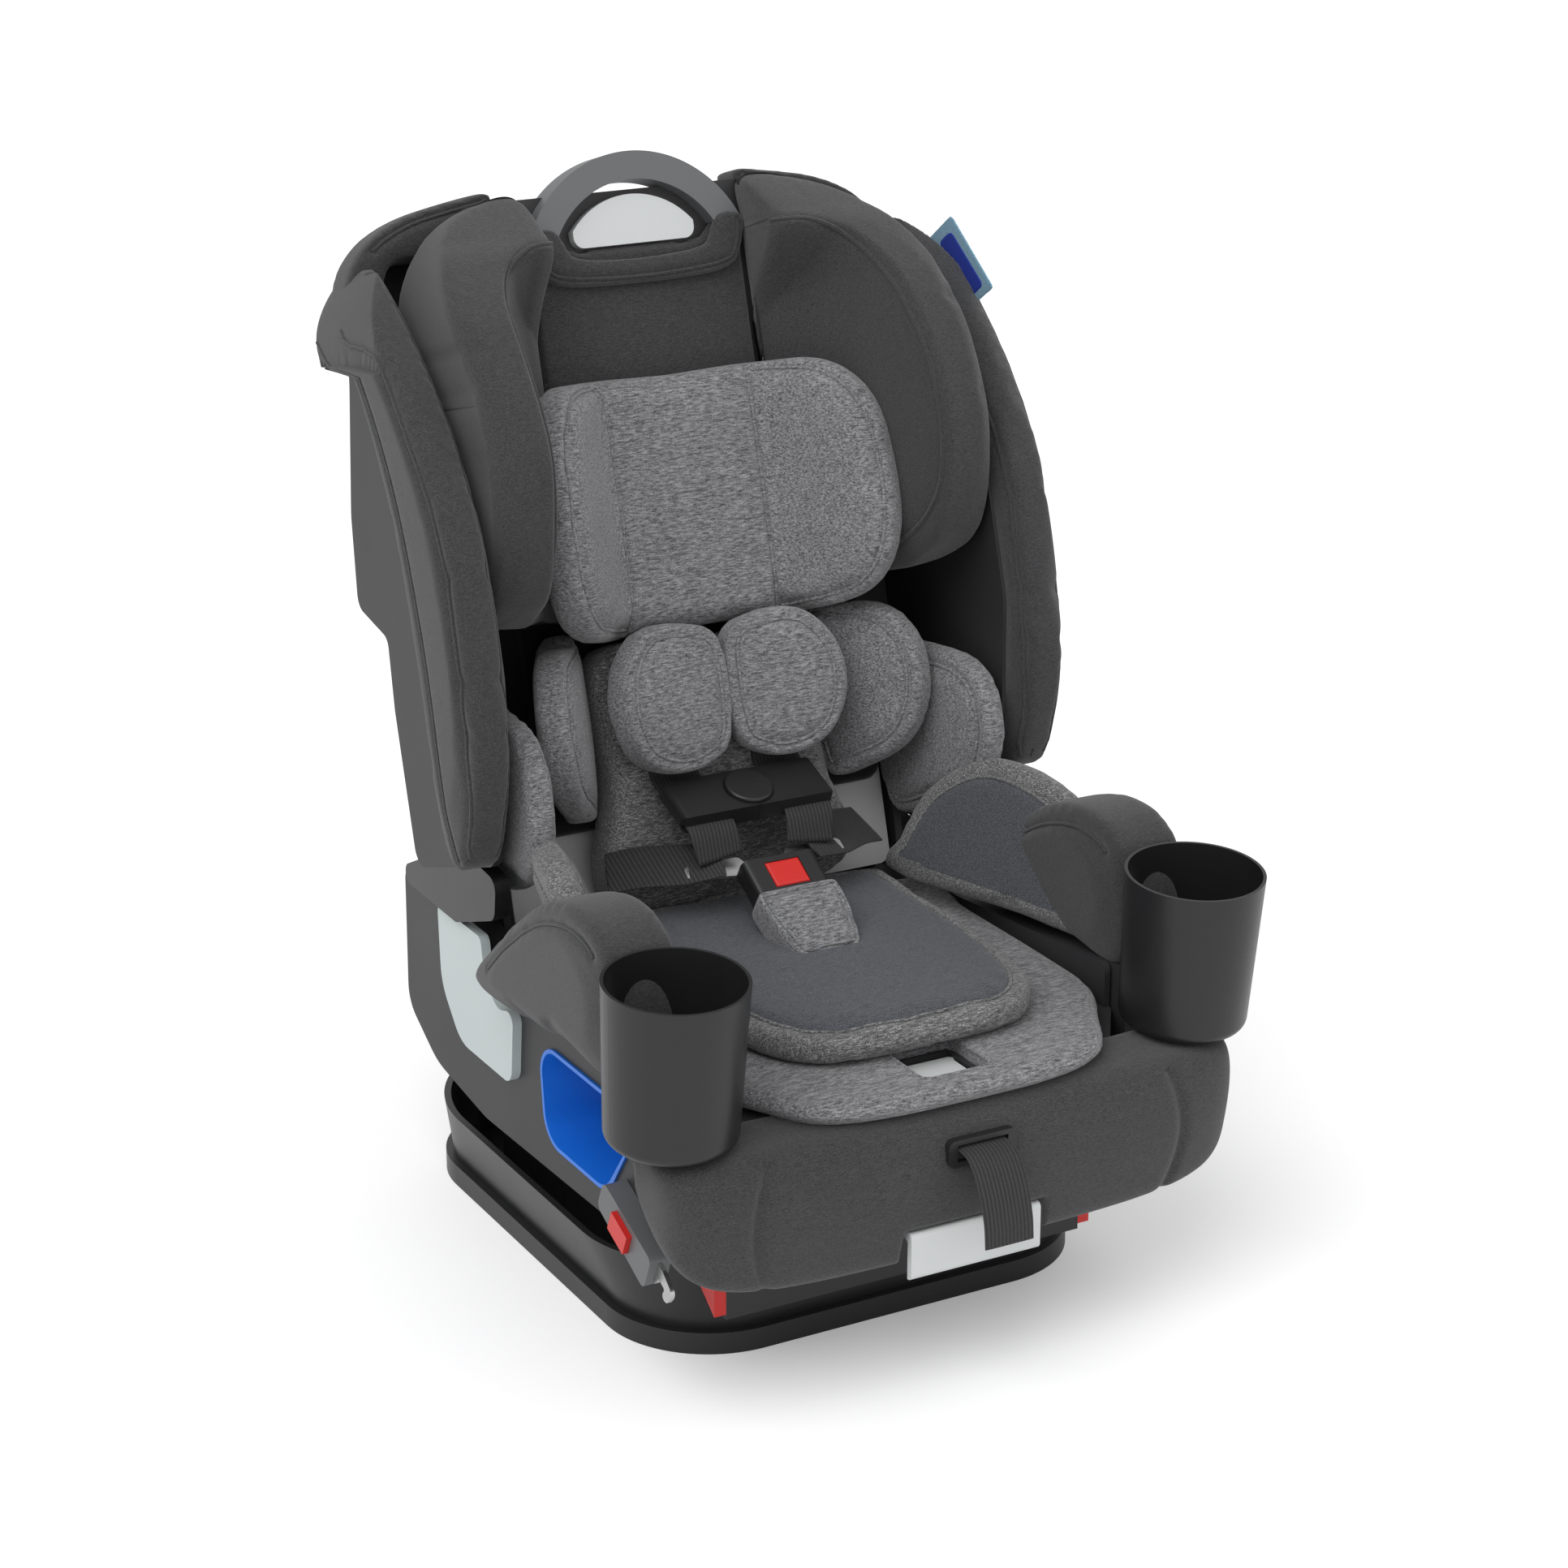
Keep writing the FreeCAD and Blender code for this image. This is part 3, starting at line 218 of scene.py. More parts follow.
def lap_cloth():
    """The lap cushion: a slate face inside, salt-and-pepper knit on the roll round its edge."""
    n = Nodes("lap_cloth")
    yarn = n.noise(1.0, (190.0, 700.0, 1000.0), 3.0, 0.65)
    loop = n.noise(1.0, (1300.0, 1300.0, 1500.0), 2.0)
    pepper = n.ramp(yarn * 0.55 + loop * 0.45, [(0.36, grey(0.035)), (0.5, grey(0.12)), (0.64, grey(0.36))])
    slate = n.ramp(yarn * 0.3 + loop * 0.7, [(0.36, (0.028, 0.03, 0.036)), (0.64, (0.115, 0.12, 0.135))])
    inside = n.attribute("inside").above(0.5)
    colour = n.blend(inside, pepper, slate)
    return n.surface(colour, 0.92, n.bump(loop + yarn * 0.5, 0.45, 0.0011), Sheen_Weight=0.2,
                     Specular_IOR_Level=0.2)


MATERIALS = {
    "charcoal_fabric": knit("charcoal_cloth", 0.018, 0.085, 260.0, 1500.0, cover=0.35, bump=0.45),
    "melange_fabric": knit("melange_cloth", 0.035, 0.40, 170.0, 1150.0, cover=0.6, bump=0.5),
    "lining_fabric": knit("lining_cloth", 0.006, 0.02, 400.0, 1600.0, cover=0.3),
    "webbing": webbing("webbing_cloth"),
    "base_plastic": plastic("base_black", (0.018, 0.018, 0.019), 0.36, 700.0, 0.1),
    "shell_plastic": plastic("shell_black", (0.03, 0.03, 0.032), 0.5),
    "black_plastic": plastic("satin_black", (0.014, 0.014, 0.015), 0.34, 1100.0, 0.06),
    "handle_grey": plastic("handle_grey_plastic", (0.13, 0.135, 0.14), 0.42),
    "lever_white": plastic("lever_pale", (0.62, 0.64, 0.64), 0.4),
    "belt_blue": plastic("belt_blue_plastic", (0.012, 0.17, 0.72), 0.34),
    "guide_grey": plastic("guide_pale", (0.52, 0.58, 0.58), 0.42),
    "red_plastic": plastic("signal_red", (0.62, 0.018, 0.014), 0.3),
    "steel": metal("plain_steel"),
    "rubber": plastic("foot_rubber", (0.02, 0.02, 0.02), 0.8),
    "foam": plastic("foam_bead", (0.6, 0.6, 0.6), 0.85, 300.0, 0.5),
    "tag_fabric": knit("tag_cloth", 0.3, 0.62, 300.0, 1500.0, tint=(0.45, 0.85, 1.15)),
    "lap": lap_cloth(),
    "patch": plastic("patch_blue", (0.012, 0.035, 0.32), 0.8, 1500.0, 0.3),
}


def add_light():
    world = bpy.data.worlds.new("world")
    bpy.context.scene.world = world
    world.use_nodes = True
    tree = world.node_tree
    background = tree.nodes["Background"]
    background.inputs["Color"].default_value = (1.0, 1.0, 1.0, 1.0)
    path = tree.nodes.new("ShaderNodeLightPath")
    seen = tree.nodes.new("ShaderNodeMath")
    seen.operation = "MAXIMUM"
    tree.links.new(path.outputs["Is Camera Ray"], seen.inputs[0])
    tree.links.new(path.outputs["Is Transmission Ray"], seen.inputs[1])
    level = tree.nodes.new("ShaderNodeMapRange")
    level.inputs["To Min"].default_value = WORLD_LEVEL
    level.inputs["To Max"].default_value = 1.0
    tree.links.new(seen.outputs[0], level.inputs["Value"])
    tree.links.new(level.outputs[0], background.inputs["Strength"])
    bpy.context.scene.view_settings.view_transform = "Standard"
    for name, power, spread, turn in (("key", 1.5, 50.0, (38.0, 0.0, -62.0)),
                                      ("fill", 0.55, 90.0, (52.0, 0.0, 18.0))):
        data = bpy.data.lights.new(name, "SUN")
        data.energy = power
        data.angle = math.radians(spread)
        lamp = bpy.data.objects.new(name, data)
        lamp.rotation_euler = Euler([math.radians(a) for a in turn])
        bpy.context.scene.collection.objects.link(lamp)


def add_floor():
    clear_selection()
    bpy.ops.mesh.primitive_plane_add(size=30.0, location=(0.0, 0.0, -0.0002))
    floor = bpy.context.object
    floor.name = "floor"
    n = Nodes("floor_white")
    shader = n.add("ShaderNodeBsdfPrincipled", Base_Color=(0.9, 0.9, 0.9, 1.0), Roughness=0.9,
                   Specular_IOR_Level=0.0)
    seen = n.wire(n.add("ShaderNodeLightPath"), "Is Camera Ray")
    shader.inputs["Emission Color"].default_value = (1.0, 1.0, 1.0, 1.0)
    n.tree.links.new((seen * FLOOR_LIFT).socket, shader.inputs["Emission Strength"])
    out = n.add("ShaderNodeOutputMaterial")
    n.tree.links.new(shader.outputs[0], out.inputs[0])
    floor.data.materials.append(n.material)


# Mesh making
def clear_selection():
    if bpy.context.object and bpy.context.object.mode != "OBJECT":
        bpy.ops.object.mode_set(mode="OBJECT")
    bpy.ops.object.select_all(action="DESELECT")


def only(obj):
    clear_selection()
    obj.select_set(True)
    bpy.context.view_layer.objects.active = obj


def apply_modifier(obj, kind, **settings):
    only(obj)
    modifier = obj.modifiers.new(kind.lower(), kind)
    for key, value in settings.items():
        setattr(modifier, key, value)
    bpy.ops.object.modifier_apply(modifier=modifier.name)


def positions(obj):
    co = np.empty(len(obj.data.vertices) * 3, np.float64)
    obj.data.vertices.foreach_get("co", co)
    return co.reshape(-1, 3)


def set_positions(obj, co):
    obj.data.vertices.foreach_set("co", np.asarray(co, np.float64).ravel())
    obj.data.update()


def smooth_loop(points, count=96):
    """A closed smooth curve through the points, evenly stepped."""
    p = np.array(points, float)
    k = len(p)
    fine = []
    for i in range(k):
        a, b, c, d = p[i - 1], p[i], p[(i + 1) % k], p[(i + 2) % k]
        for t in np.linspace(0.0, 1.0, 16, endpoint=False):
            fine.append(0.5 * (2 * b + (c - a) * t + (2 * a - 5 * b + 4 * c - d) * t ** 2
                               + (3 * b - a - 3 * c + d) * t ** 3))
    return evenly(np.array(fine + [fine[0]]), count + 1)[:-1]


def smooth_line(points, count=48):
    p = np.array(points, float)
    p = np.vstack([2 * p[0] - p[1], p, 2 * p[-1] - p[-2]])
    fine = []
    for i in range(1, len(p) - 2):
        a, b, c, d = p[i - 1], p[i], p[i + 1], p[i + 2]
        for t in np.linspace(0.0, 1.0, 16, endpoint=False):
            fine.append(0.5 * (2 * b + (c - a) * t + (2 * a - 5 * b + 4 * c - d) * t ** 2
                               + (3 * b - a - 3 * c + d) * t ** 3))
    return evenly(np.array(fine + [p[-2]]), count)


def evenly(points, count):
    step = np.r_[0.0, np.cumsum(np.linalg.norm(np.diff(points, axis=0), axis=1))]
    at = np.linspace(0.0, step[-1], count)
    return np.stack([np.interp(at, step, points[:, i]) for i in range(points.shape[1])], 1)


def rounded(corners, count=64):
    """A closed outline with round corners from (a, b, radius), evenly stepped."""
    fine = []
    k = len(corners)
    for i in range(k):
        p = np.array(corners[i][:2], float)
        to_a = np.array(corners[i - 1][:2], float) - p
        to_b = np.array(corners[(i + 1) % k][:2], float) - p
        reach_a = min(corners[i][2], 0.48 * np.linalg.norm(to_a))
        reach_b = min(corners[i][2], 0.48 * np.linalg.norm(to_b))
        start = p + to_a / np.linalg.norm(to_a) * reach_a
        end = p + to_b / np.linalg.norm(to_b) * reach_b
        for t in np.linspace(0.0, 1.0, 9):
            fine.append((1 - t) ** 2 * start + 2 * t * (1 - t) * p + t ** 2 * end)
    return evenly(np.array(fine + [fine[0]]), count + 1)[:-1]


def distance_to(line, points, closed=False):
    """Distance from each 2-D point to a polyline."""
    a = np.asarray(line, float)
    b = np.roll(a, -1, axis=0) if closed else a[1:]
    a = a if closed else a[:-1]
    best = np.full(len(points), 1e9)
    for p, q in zip(a, b):
        d = q - p
        t = np.clip(((points - p) @ d) / max(d @ d, 1e-9), 0.0, 1.0)
        best = np.minimum(best, np.linalg.norm(points - (p + t[:, None] * d), axis=1))
    return best


def tube(name, points, radius, closed=False):
    """A piping cord along 3-D points in millimetres, as a mesh."""
    curve = bpy.data.curves.new(name, "CURVE")
    curve.dimensions = "3D"
    curve.bevel_depth = radius * MM
    curve.bevel_resolution = 2
    spline = curve.splines.new("POLY")
    spline.points.add(len(points) - 1)
    for target, p in zip(spline.points, points):
        target.co = (p[0] * MM, p[1] * MM, p[2] * MM, 1.0)
    spline.use_cyclic_u = closed
    curve.use_fill_caps = not closed
    obj = bpy.data.objects.new(name, curve)
    bpy.context.scene.collection.objects.link(obj)
    only(obj)
    bpy.ops.object.convert(target="MESH")
    return bpy.context.object


def joined(obj, others):
    clear_selection()
    for other in others:
        other.select_set(True)
    obj.select_set(True)
    bpy.context.view_layer.objects.active = obj
    if others:
        bpy.ops.object.join()
    return obj


def smooth(obj):
    only(obj)
    bpy.ops.object.shade_smooth()
    return obj


def swell(obj, pressure, limit):
    """Blow the pad up as cloth, then hold each point to the limit in millimetres."""
    if pressure == 0:
        return
    before = positions(obj)
    only(obj)
    modifier = obj.modifiers.new("swell", "CLOTH")
    modifier.settings.use_pressure = True
    modifier.settings.uniform_pressure_force = pressure
    modifier.settings.effector_weights.gravity = 0.0
    modifier.settings.quality = 4
    modifier.point_cache.frame_end = 20
    scene = bpy.context.scene
    for number in range(1, 21):
        scene.frame_set(number)
    bpy.ops.object.modifier_apply(modifier=modifier.name)
    scene.frame_set(1)
    moved = positions(obj) - before
    far = np.linalg.norm(moved, axis=1, keepdims=True)
    reach = limit * MM
    moved *= np.minimum(1.0, reach / np.maximum(far, 1e-9))
    set_positions(obj, before + moved)


def pad(name, outline, thick, place, edge=None, seams=(), voxel=4.5, pressure=2.0, limit=4.0, groove=2.2,
        crown=0.0, piping=1.3, rim_face=None):
    """A stuffed pad: outline (a, b) in its own plane, filled to a thickness, swollen, sewn and bent to place.

    seams: (points, closed, side) with side 1 for the front face, -1 for the back.
    place(a, b, c) takes millimetres in the pad's plane and off it to the seat.
    """
    edge = thick * 0.42 if edge is None else edge
    clear_selection()
    bpy.ops.mesh.primitive_circle_add(vertices=len(outline), fill_type="NGON")
    obj = bpy.context.object
    obj.name = name
    co = np.zeros((len(outline), 3))
    co[:, :2] = np.array(outline) * MM
    co[:, 2] = -thick / 2 * MM
    set_positions(obj, co)
    bpy.ops.object.mode_set(mode="EDIT")
    bpy.ops.mesh.select_all(action="SELECT")
    bpy.ops.mesh.extrude_region_move(TRANSFORM_OT_translate={"value": (0.0, 0.0, thick * MM)})
    bpy.ops.mesh.select_all(action="SELECT")
    bpy.ops.mesh.normals_make_consistent(inside=False)
    bpy.ops.object.mode_set(mode="OBJECT")
    for e in obj.data.edges:
        z = [obj.data.vertices[v].co.z for v in e.vertices]
        e.select = abs(z[0] - z[1]) < 1e-6
    bpy.ops.object.mode_set(mode="EDIT")
    bpy.ops.mesh.select_mode(type="EDGE")
    bpy.ops.mesh.bevel(offset=edge * MM, segments=4, affect="EDGES", clamp_overlap=True)
    bpy.ops.object.mode_set(mode="OBJECT")
    apply_modifier(obj, "REMESH", mode="VOXEL", voxel_size=voxel * MM, use_smooth_shade=True)
    apply_modifier(obj, "SMOOTH", factor=0.5, iterations=4)
    swell(obj, pressure, limit)
    apply_modifier(obj, "SUBSURF", levels=1, render_levels=1)
    co = positions(obj) / MM
    flat = co[:, :2]
    rim = distance_to(outline, flat, True)
    side = np.sign(co[:, 2])
    co[:, 2] += side * crown * (1.0 - np.exp(-rim / 30.0))
    for points, closed, face in seams:
        cut = groove * np.exp(-(distance_to(points, flat, closed) / 3.0) ** 2)
        co[:, 2] -= np.where(side == face, side * cut, 0.0)
    set_positions(obj, co * MM)
    if rim_face is not None:
        layer = obj.data.attributes.new("inside", "FLOAT", "POINT")
        face, depth = rim_face
        layer.data.foreach_set("value", ((rim > depth) & (side == face)).astype(np.float32))
    cords = []
    if piping:
        corners = [v.co for v in obj.data.vertices]
        tree = BVHTree.FromPolygons(corners, [p.vertices for p in obj.data.polygons])
        for points, closed, face in seams:
            line = []
            for a, b in points:
                hit = tree.ray_cast(Vector((a * MM, b * MM, face * 0.2)), Vector((0.0, 0.0, -face)))[0]
                if hit is not None:
                    line.append(place(a, b, hit.z / MM + face * piping * 0.35).ravel())
            if len(line) > 3:
                cords.append(smooth(tube(name + "_piping", line, piping, closed)))
    co = positions(obj) / MM
    set_positions(obj, place(co[:, 0], co[:, 1], co[:, 2]) * MM)
    joined(obj, cords)
    only(obj)
    bpy.ops.object.mode_set(mode="EDIT")
    bpy.ops.mesh.select_all(action="SELECT")
    bpy.ops.mesh.normals_make_consistent(inside=False)
    bpy.ops.object.mode_set(mode="OBJECT")
    return smooth(obj)


def wrapped(name, around, along, point):
    """A closed skin: point(t, s) in millimetres, t round the section and s from one end to the other."""
    clear_selection()
    bpy.ops.mesh.primitive_grid_add(x_subdivisions=around, y_subdivisions=along, size=2.0)
    obj = bpy.context.object
    obj.name = name
    co = positions(obj)
    made = [point((x + 1.0) / 2.0 % 1.0, (y + 1.0) / 2.0) for x, y, _ in co]
    set_positions(obj, np.array(made) * MM)
    bpy.ops.object.mode_set(mode="EDIT")
    bpy.ops.mesh.select_all(action="SELECT")
    bpy.ops.mesh.remove_doubles(threshold=0.00002)
    bpy.ops.mesh.select_all(action="DESELECT")
    bpy.ops.mesh.select_non_manifold()
    bpy.ops.mesh.edge_face_add()
    bpy.ops.mesh.select_all(action="SELECT")
    bpy.ops.mesh.normals_make_consistent(inside=False)
    bpy.ops.object.mode_set(mode="OBJECT")
    return smooth(obj)


def ring_at(ring, t):
    """The point a share t of the way round an evenly stepped ring."""
    k = len(ring)
    x = t * k
    i = int(math.floor(x)) % k
    f = x - math.floor(x)
    return ring[i] * (1 - f) + ring[(i + 1) % k] * f


def bent(s, start, length, angle):
    """Across a panel that folds forward: returns x, forward and the slope there."""
    side = np.where(np.asarray(s) < 0, -1.0, 1.0)
    s = np.abs(s)
    radius = length / angle
    turn = np.clip((s - start) / length, 0.0, 1.0) * angle
    rest = np.maximum(s - start - length, 0.0)
    x = np.minimum(s, start) + radius * np.sin(turn) + rest * np.cos(turn)
    forward = radius * (1.0 - np.cos(turn)) + rest * np.sin(turn)
    return side * x, forward, side * turn


def dress(obj, slot, body, nodes=(), material=None):
    obj.data.materials.clear()
    obj.data.materials.append(MATERIALS[material or slot])
    if body:
        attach(obj, body)
    if nodes:
        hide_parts(*nodes)
    return obj


def inset(outline, by):
    """The outline moved inward by a distance."""
    p = np.asarray(outline, float)
    d = np.roll(p, -1, axis=0) - np.roll(p, 1, axis=0)
    n = np.stack([-d[:, 1], d[:, 0]], 1)
    n /= np.maximum(np.linalg.norm(n, axis=1, keepdims=True), 1e-9)
    area = np.sum(p[:, 0] * np.roll(p[:, 1], -1) - np.roll(p[:, 0], -1) * p[:, 1])
    return p + n * by * (1.0 if area > 0 else -1.0)


def run(outline, keep):
    """The longest stretch of a closed outline whose points pass the test, in order."""
    loop = np.asarray(outline)
    good = [bool(keep(p)) for p in loop]
    best = []
    for start in range(len(loop)):
        if good[start] and not good[start - 1]:
            k = start
            stretch = []
            while good[k % len(loop)] and len(stretch) < len(loop):
                stretch.append(loop[k % len(loop)])
                k += 1
            if len(stretch) > len(best):
                best = stretch
    return np.array(best)


SIDES = (("right", 1), ("left", -1))


# Head pillow: a centre panel and two lobes that fold forward
def head_pillow():
    half = [(70, 346), (128, 338), (160, 306), (170, 252), (164, 200), (138, 168), (80, 158)]
    outline = smooth_loop([(0, 345)] + half + [(0, 157)] + [(-a, b) for a, b in reversed(half)])

    def place(a, b, c):
        x, forward, turn = bent(a, 52, 36, math.radians(50))
        return back(x - np.sin(turn) * c, b, 31 + forward + np.cos(turn) * c)

    edge = inset(outline, 9)
    seams = [([(62 * s, u) for u in np.linspace(156, 346, 24)], False, 1) for _, s in SIDES]
    seams += [(run(edge, lambda p, s=s: p[0] * s > 62), False, 1) for _, s in SIDES]
    obj = pad("head_pillow_pad", outline, 27, place, seams=seams, pressure=2.5, crown=3.0, groove=3.0)
    dress(obj, "melange_fabric", "headrest", ["head_pillow"])


# Neck pillow: two lobes that meet in the middle
def neck_pillow():
    parts = []
    for name, s in SIDES:
        outline = smooth_loop([(s * a, b) for a, b in [(2, 150), (30, 166), (66, 164), (90, 140), (96, 108),
                                                       (82, 76), (54, 62), (24, 64), (2, 84)]])

        def place(a, b, c, s=s):
            x, forward, turn = bent(a, 26, 60, math.radians(30))
            return back(x - np.sin(turn) * c, b, 60 + forward * 0.7 + np.cos(turn) * c)

        seam = inset(outline, 9)
        parts.append(pad("neck_lobe_" + name, outline, 22, place, seams=[(seam, True, 1)], crown=3.0))
    obj = joined(parts[0], parts[1:])
    obj.name = "neck_pillow_pad"
    dress(obj, "melange_fabric", "headrest", ["neck_pillow"])


def torso_wings():
    for name, s in SIDES:
        outline = smooth_loop([(0, 44), (40, 42), (74, 58), (92, 92), (90, 128), (70, 154), (36, 163), (0, 161)])

        def place(a, b, c, s=s):
            turn = math.radians(58)
            x = 100 + a * math.cos(turn) - c * math.sin(turn)
            return back(s * x, b, 10 + a * math.sin(turn) + c * math.cos(turn))

        seam = run(inset(outline, 11), lambda p: p[0] > 8)
        obj = pad("torso_wing_pad_" + name, outline, 23, place, seams=[(seam, False, 1)], crown=2.5)
        dress(obj, "melange_fabric", "seat", ["torso_wings"])
        outline = smooth_loop([(0, 6), (60, 4), (104, 20), (124, 56), (118, 96), (80, 118), (0, 118)])

        def hip(a, b, c, s=s):
            turn = math.radians(80)
            x = 160 + a * math.cos(turn) - c * math.sin(turn)
            return back(s * x, b, 2 + a * math.sin(turn) + c * math.cos(turn))

        seam = run(inset(outline, 11), lambda p: p[0] > 8)
        obj = pad("hip_pad_" + name, outline, 20, hip, seams=[(seam, False, 1)], crown=2.0)
        dress(obj, "melange_fabric", "seat", ["back_wing_pads"])


# Lap cushion, its U-shaped roll and its leaning wings
LAP_TOP = 238.0


def lap_cushion():
    half = [(40, -256), (78, -246), (104, -214), (116, -160), (119, -80), (119, -10), (112, 20)]
    outline = smooth_loop([(0, -258)] + half + [(0, 20)] + [(-a, b) for a, b in reversed(half)])

    def place(a, b, c):
        return seat(a, b, 227 + c + 1.5 * np.cos(a / 60.0))

    obj = pad("lap_cushion_pad", outline, 19, place, seams=[(inset(outline, 15), True, 1)], crown=1.0,
              rim_face=(1, 15), pressure=1.5)
    dress(obj, "melange_fabric", "seat", ["lap_insert"], material="lap")
    for name, s in SIDES:
        outline = smooth_loop([(-232, 2), (-226, 26), (-196, 58), (-140, 92), (-90, 105), (-46, 100),
                               (-8, 70), (8, 30), (10, 2), (-110, -2)])

        def wing(a, b, c, s=s):
            lean = math.radians(20)
            toe = math.radians(16)
            x0 = b * math.sin(lean) + (11 - c) * math.cos(lean)
            z0 = b * math.cos(lean) - (11 - c) * math.sin(lean)
            x = x0 * math.cos(toe) - a * math.sin(toe)
            y = x0 * math.sin(toe) + a * math.cos(toe)
            return seat(s * (122 + x), y, LAP_TOP - 4 + z0)

        seam = run(inset(outline, 15), lambda p: p[1] > 16)
        obj = pad("lap_wing_pad_" + name, outline, 21, wing, crown=1.5, rim_face=(1, 15),
                  seams=[(seam, False, 1), (seam, False, -1)])
        dress(obj, "melange_fabric", "seat", ["lap_wing_" + name], material="lap")


# Seat cushion with its rounded lip and the window of the release lever
def seat_cushion():
    half = [(70, -306), (112, -290), (138, -248), (160, -206), (164, -150), (164, -40), (162, 36)]
    outline = smooth_loop([(0, -309)] + half + [(0, 38)] + [(-a, b) for a, b in reversed(half)])

    def place(a, b, c):
        return seat(a, b, 207 + c)

    obj = pad("seat_cushion_pad", outline, 16, place, edge=7, crown=1.0, pressure=0,
              seams=[(inset(outline, 3), True, -1)])
    clear_selection()
    bpy.ops.mesh.primitive_cube_add(size=1.0, location=(0.0, -0.263, 0.21), scale=(0.052, 0.052, 0.08))
    cutter = bpy.context.object
    apply_modifier(cutter, "BEVEL", width=0.009, segments=5, limit_method="ANGLE")
    apply_modifier(obj, "BOOLEAN", operation="DIFFERENCE", object=cutter, solver="EXACT")
    bpy.data.objects.remove(cutter)
    ring = rounded([(-27, -290, 9), (27, -290, 9), (27, -236, 9), (-27, -236, 9)], 48)
    cord = tube("window_piping", [seat(a, b, 215) for a, b in ring], 1.6, True)
    obj = joined(obj, [smooth(cord)])
    dress(smooth(obj), "melange_fabric", "seat", ["seat_pad"])


# Boot: one padded cover round the nose, whose top runs in under the seat cushion
def boot():
    def point(t, s):
        turn = (s - 0.5) * 2.0
        side = abs(turn)
        x = 219 * math.sin(turn * math.pi / 2)
        front = -319 + 6 * side ** 2 + 40 * side ** 6
        low = 93 + 10 * side ** 2 + 56 * side ** 5
        high = 196 - 3 * side ** 2
        inner = -262 + 30 * side ** 2
        ring = rounded([(front + 9, low, 14), (front, (low + high) / 2 + 8, 70), (front + 5, high, 16),
                        (inner, 204 - 8 * side, 3), (inner, 199 - 8 * side, 3), (front + 26, high - 8, 5),
                        (front + 24, low + 8, 6)], 52)
        y, z = ring_at(ring, t)
        return seat(x, y, z)

    obj = wrapped("boot_pad", 52, 120, point)
    apply_modifier(obj, "SUBSURF", levels=1, render_levels=1)
    co = positions(obj) / MM
    fold = co.copy()
    for s in (-1, 1):
        away = np.abs(co[:, 0] * s - (150 + 14 * np.sin((co[:, 2] - 93) / 34.0)))
        dent = 3.0 * np.exp(-(away / 4.0) ** 2) * (co[:, 2] < 192)
        fold[:, 1] += dent
    notch = (np.abs(co[:, 0]) < HANDLE_NOTCH) & (co[:, 2] < NOTCH_TOP + 1)
    fold[notch, 2] = NOTCH_TOP + 1
    set_positions(obj, fold * MM)
    return dress(obj, "charcoal_fabric", "seat", ["boot_cover"])


def armrests():
    for name, s in SIDES:
        outline = smooth_loop([(-222, 234), (-223, 300), (-206, 324), (-168, 331), (-120, 318), (-72, 288),
                               (-32, 254), (-12, 236), (-10, 222), (-60, 219), (-150, 226)])

        def place(a, b, c, s=s):
            return seat(s * (196 + c), a, b)

        seam = run(inset(outline, 14), lambda p: p[1] > 242 and p[0] > -205)
        obj = pad("armrest_cover_" + name, outline, 52, place, edge=20, crown=1.5,
                  seams=[(seam, False, 1), (seam, False, -1)])
        dress(obj, "charcoal_fabric", "seat", ["armrest_pad_" + name])


def outer_wings():
    for name, s in SIDES:
        outline = smooth_loop([(78, 30), (100, 26), (124, 56), (147, 110), (153, 190), (146, 262), (112, 340),
                               (70, 400), (30, 442), (-6, 462), (-30, 463), (-35, 446), (-14, 426), (26, 368),
                               (54, 292), (66, 220), (70, 150), (68, 80)], 120)

        def place(a, b, c, s=s):
            x = 219.5 + s * c
            high = 378 + np.sqrt(np.maximum(100.0 ** 2 - (x - 135.3) ** 2, 0.0))
            over = np.maximum(b - (high - 14), 0.0)
            return back(s * x, b - over * 0.85, a)

        rear = smooth_line([(92, 32), (94, 100), (96, 180), (84, 280), (52, 362), (4, 428), (-40, 452)])
        front = smooth_line([(104, 34), (130, 84), (143, 170), (138, 256), (102, 338), (58, 402), (14, 446)])
        obj = pad("outer_wing_cover_" + name, outline, 31, place, edge=14, crown=1.0, voxel=4.0,
                  seams=[(rear, False, s), (front, False, 1), (front, False, -1)])
        band = rounded([(97, 442, 4), (182, 442, 10), (190, 418, 8), (220, 418, 4), (212, 442, 14),
                        (194, 461, 20), (166, 474, 20), (135, 480, 20), (97, 486, 6)], 100)

        def top(a, b, c, s=s):
            return back(s * a, b, -20.5 + c)

        seam = run(inset(band, 7), lambda p: p[1] > 450)
        shoulder = pad("shoulder_band_" + name, band, 35, top, edge=10, voxel=3.5, pressure=1.0, limit=1.5,
                       seams=[(seam, False, 1)])
        obj = joined(obj, [shoulder])
        dress(obj, "charcoal_fabric", "seat", ["outer_wing_" + name])


# Headrest wings: a broad front band round a scooped face, sewn with piping where they meet
NOSE = smooth_line([(172, 58), (186, 92), (206, 124), (254, 149), (304, 156), (372, 130), (426, 86),
                    (450, 56), (470, 30), (480, 16)], 120)


def nose(u):
    return np.interp(u, NOSE[:, 0], NOSE[:, 1])


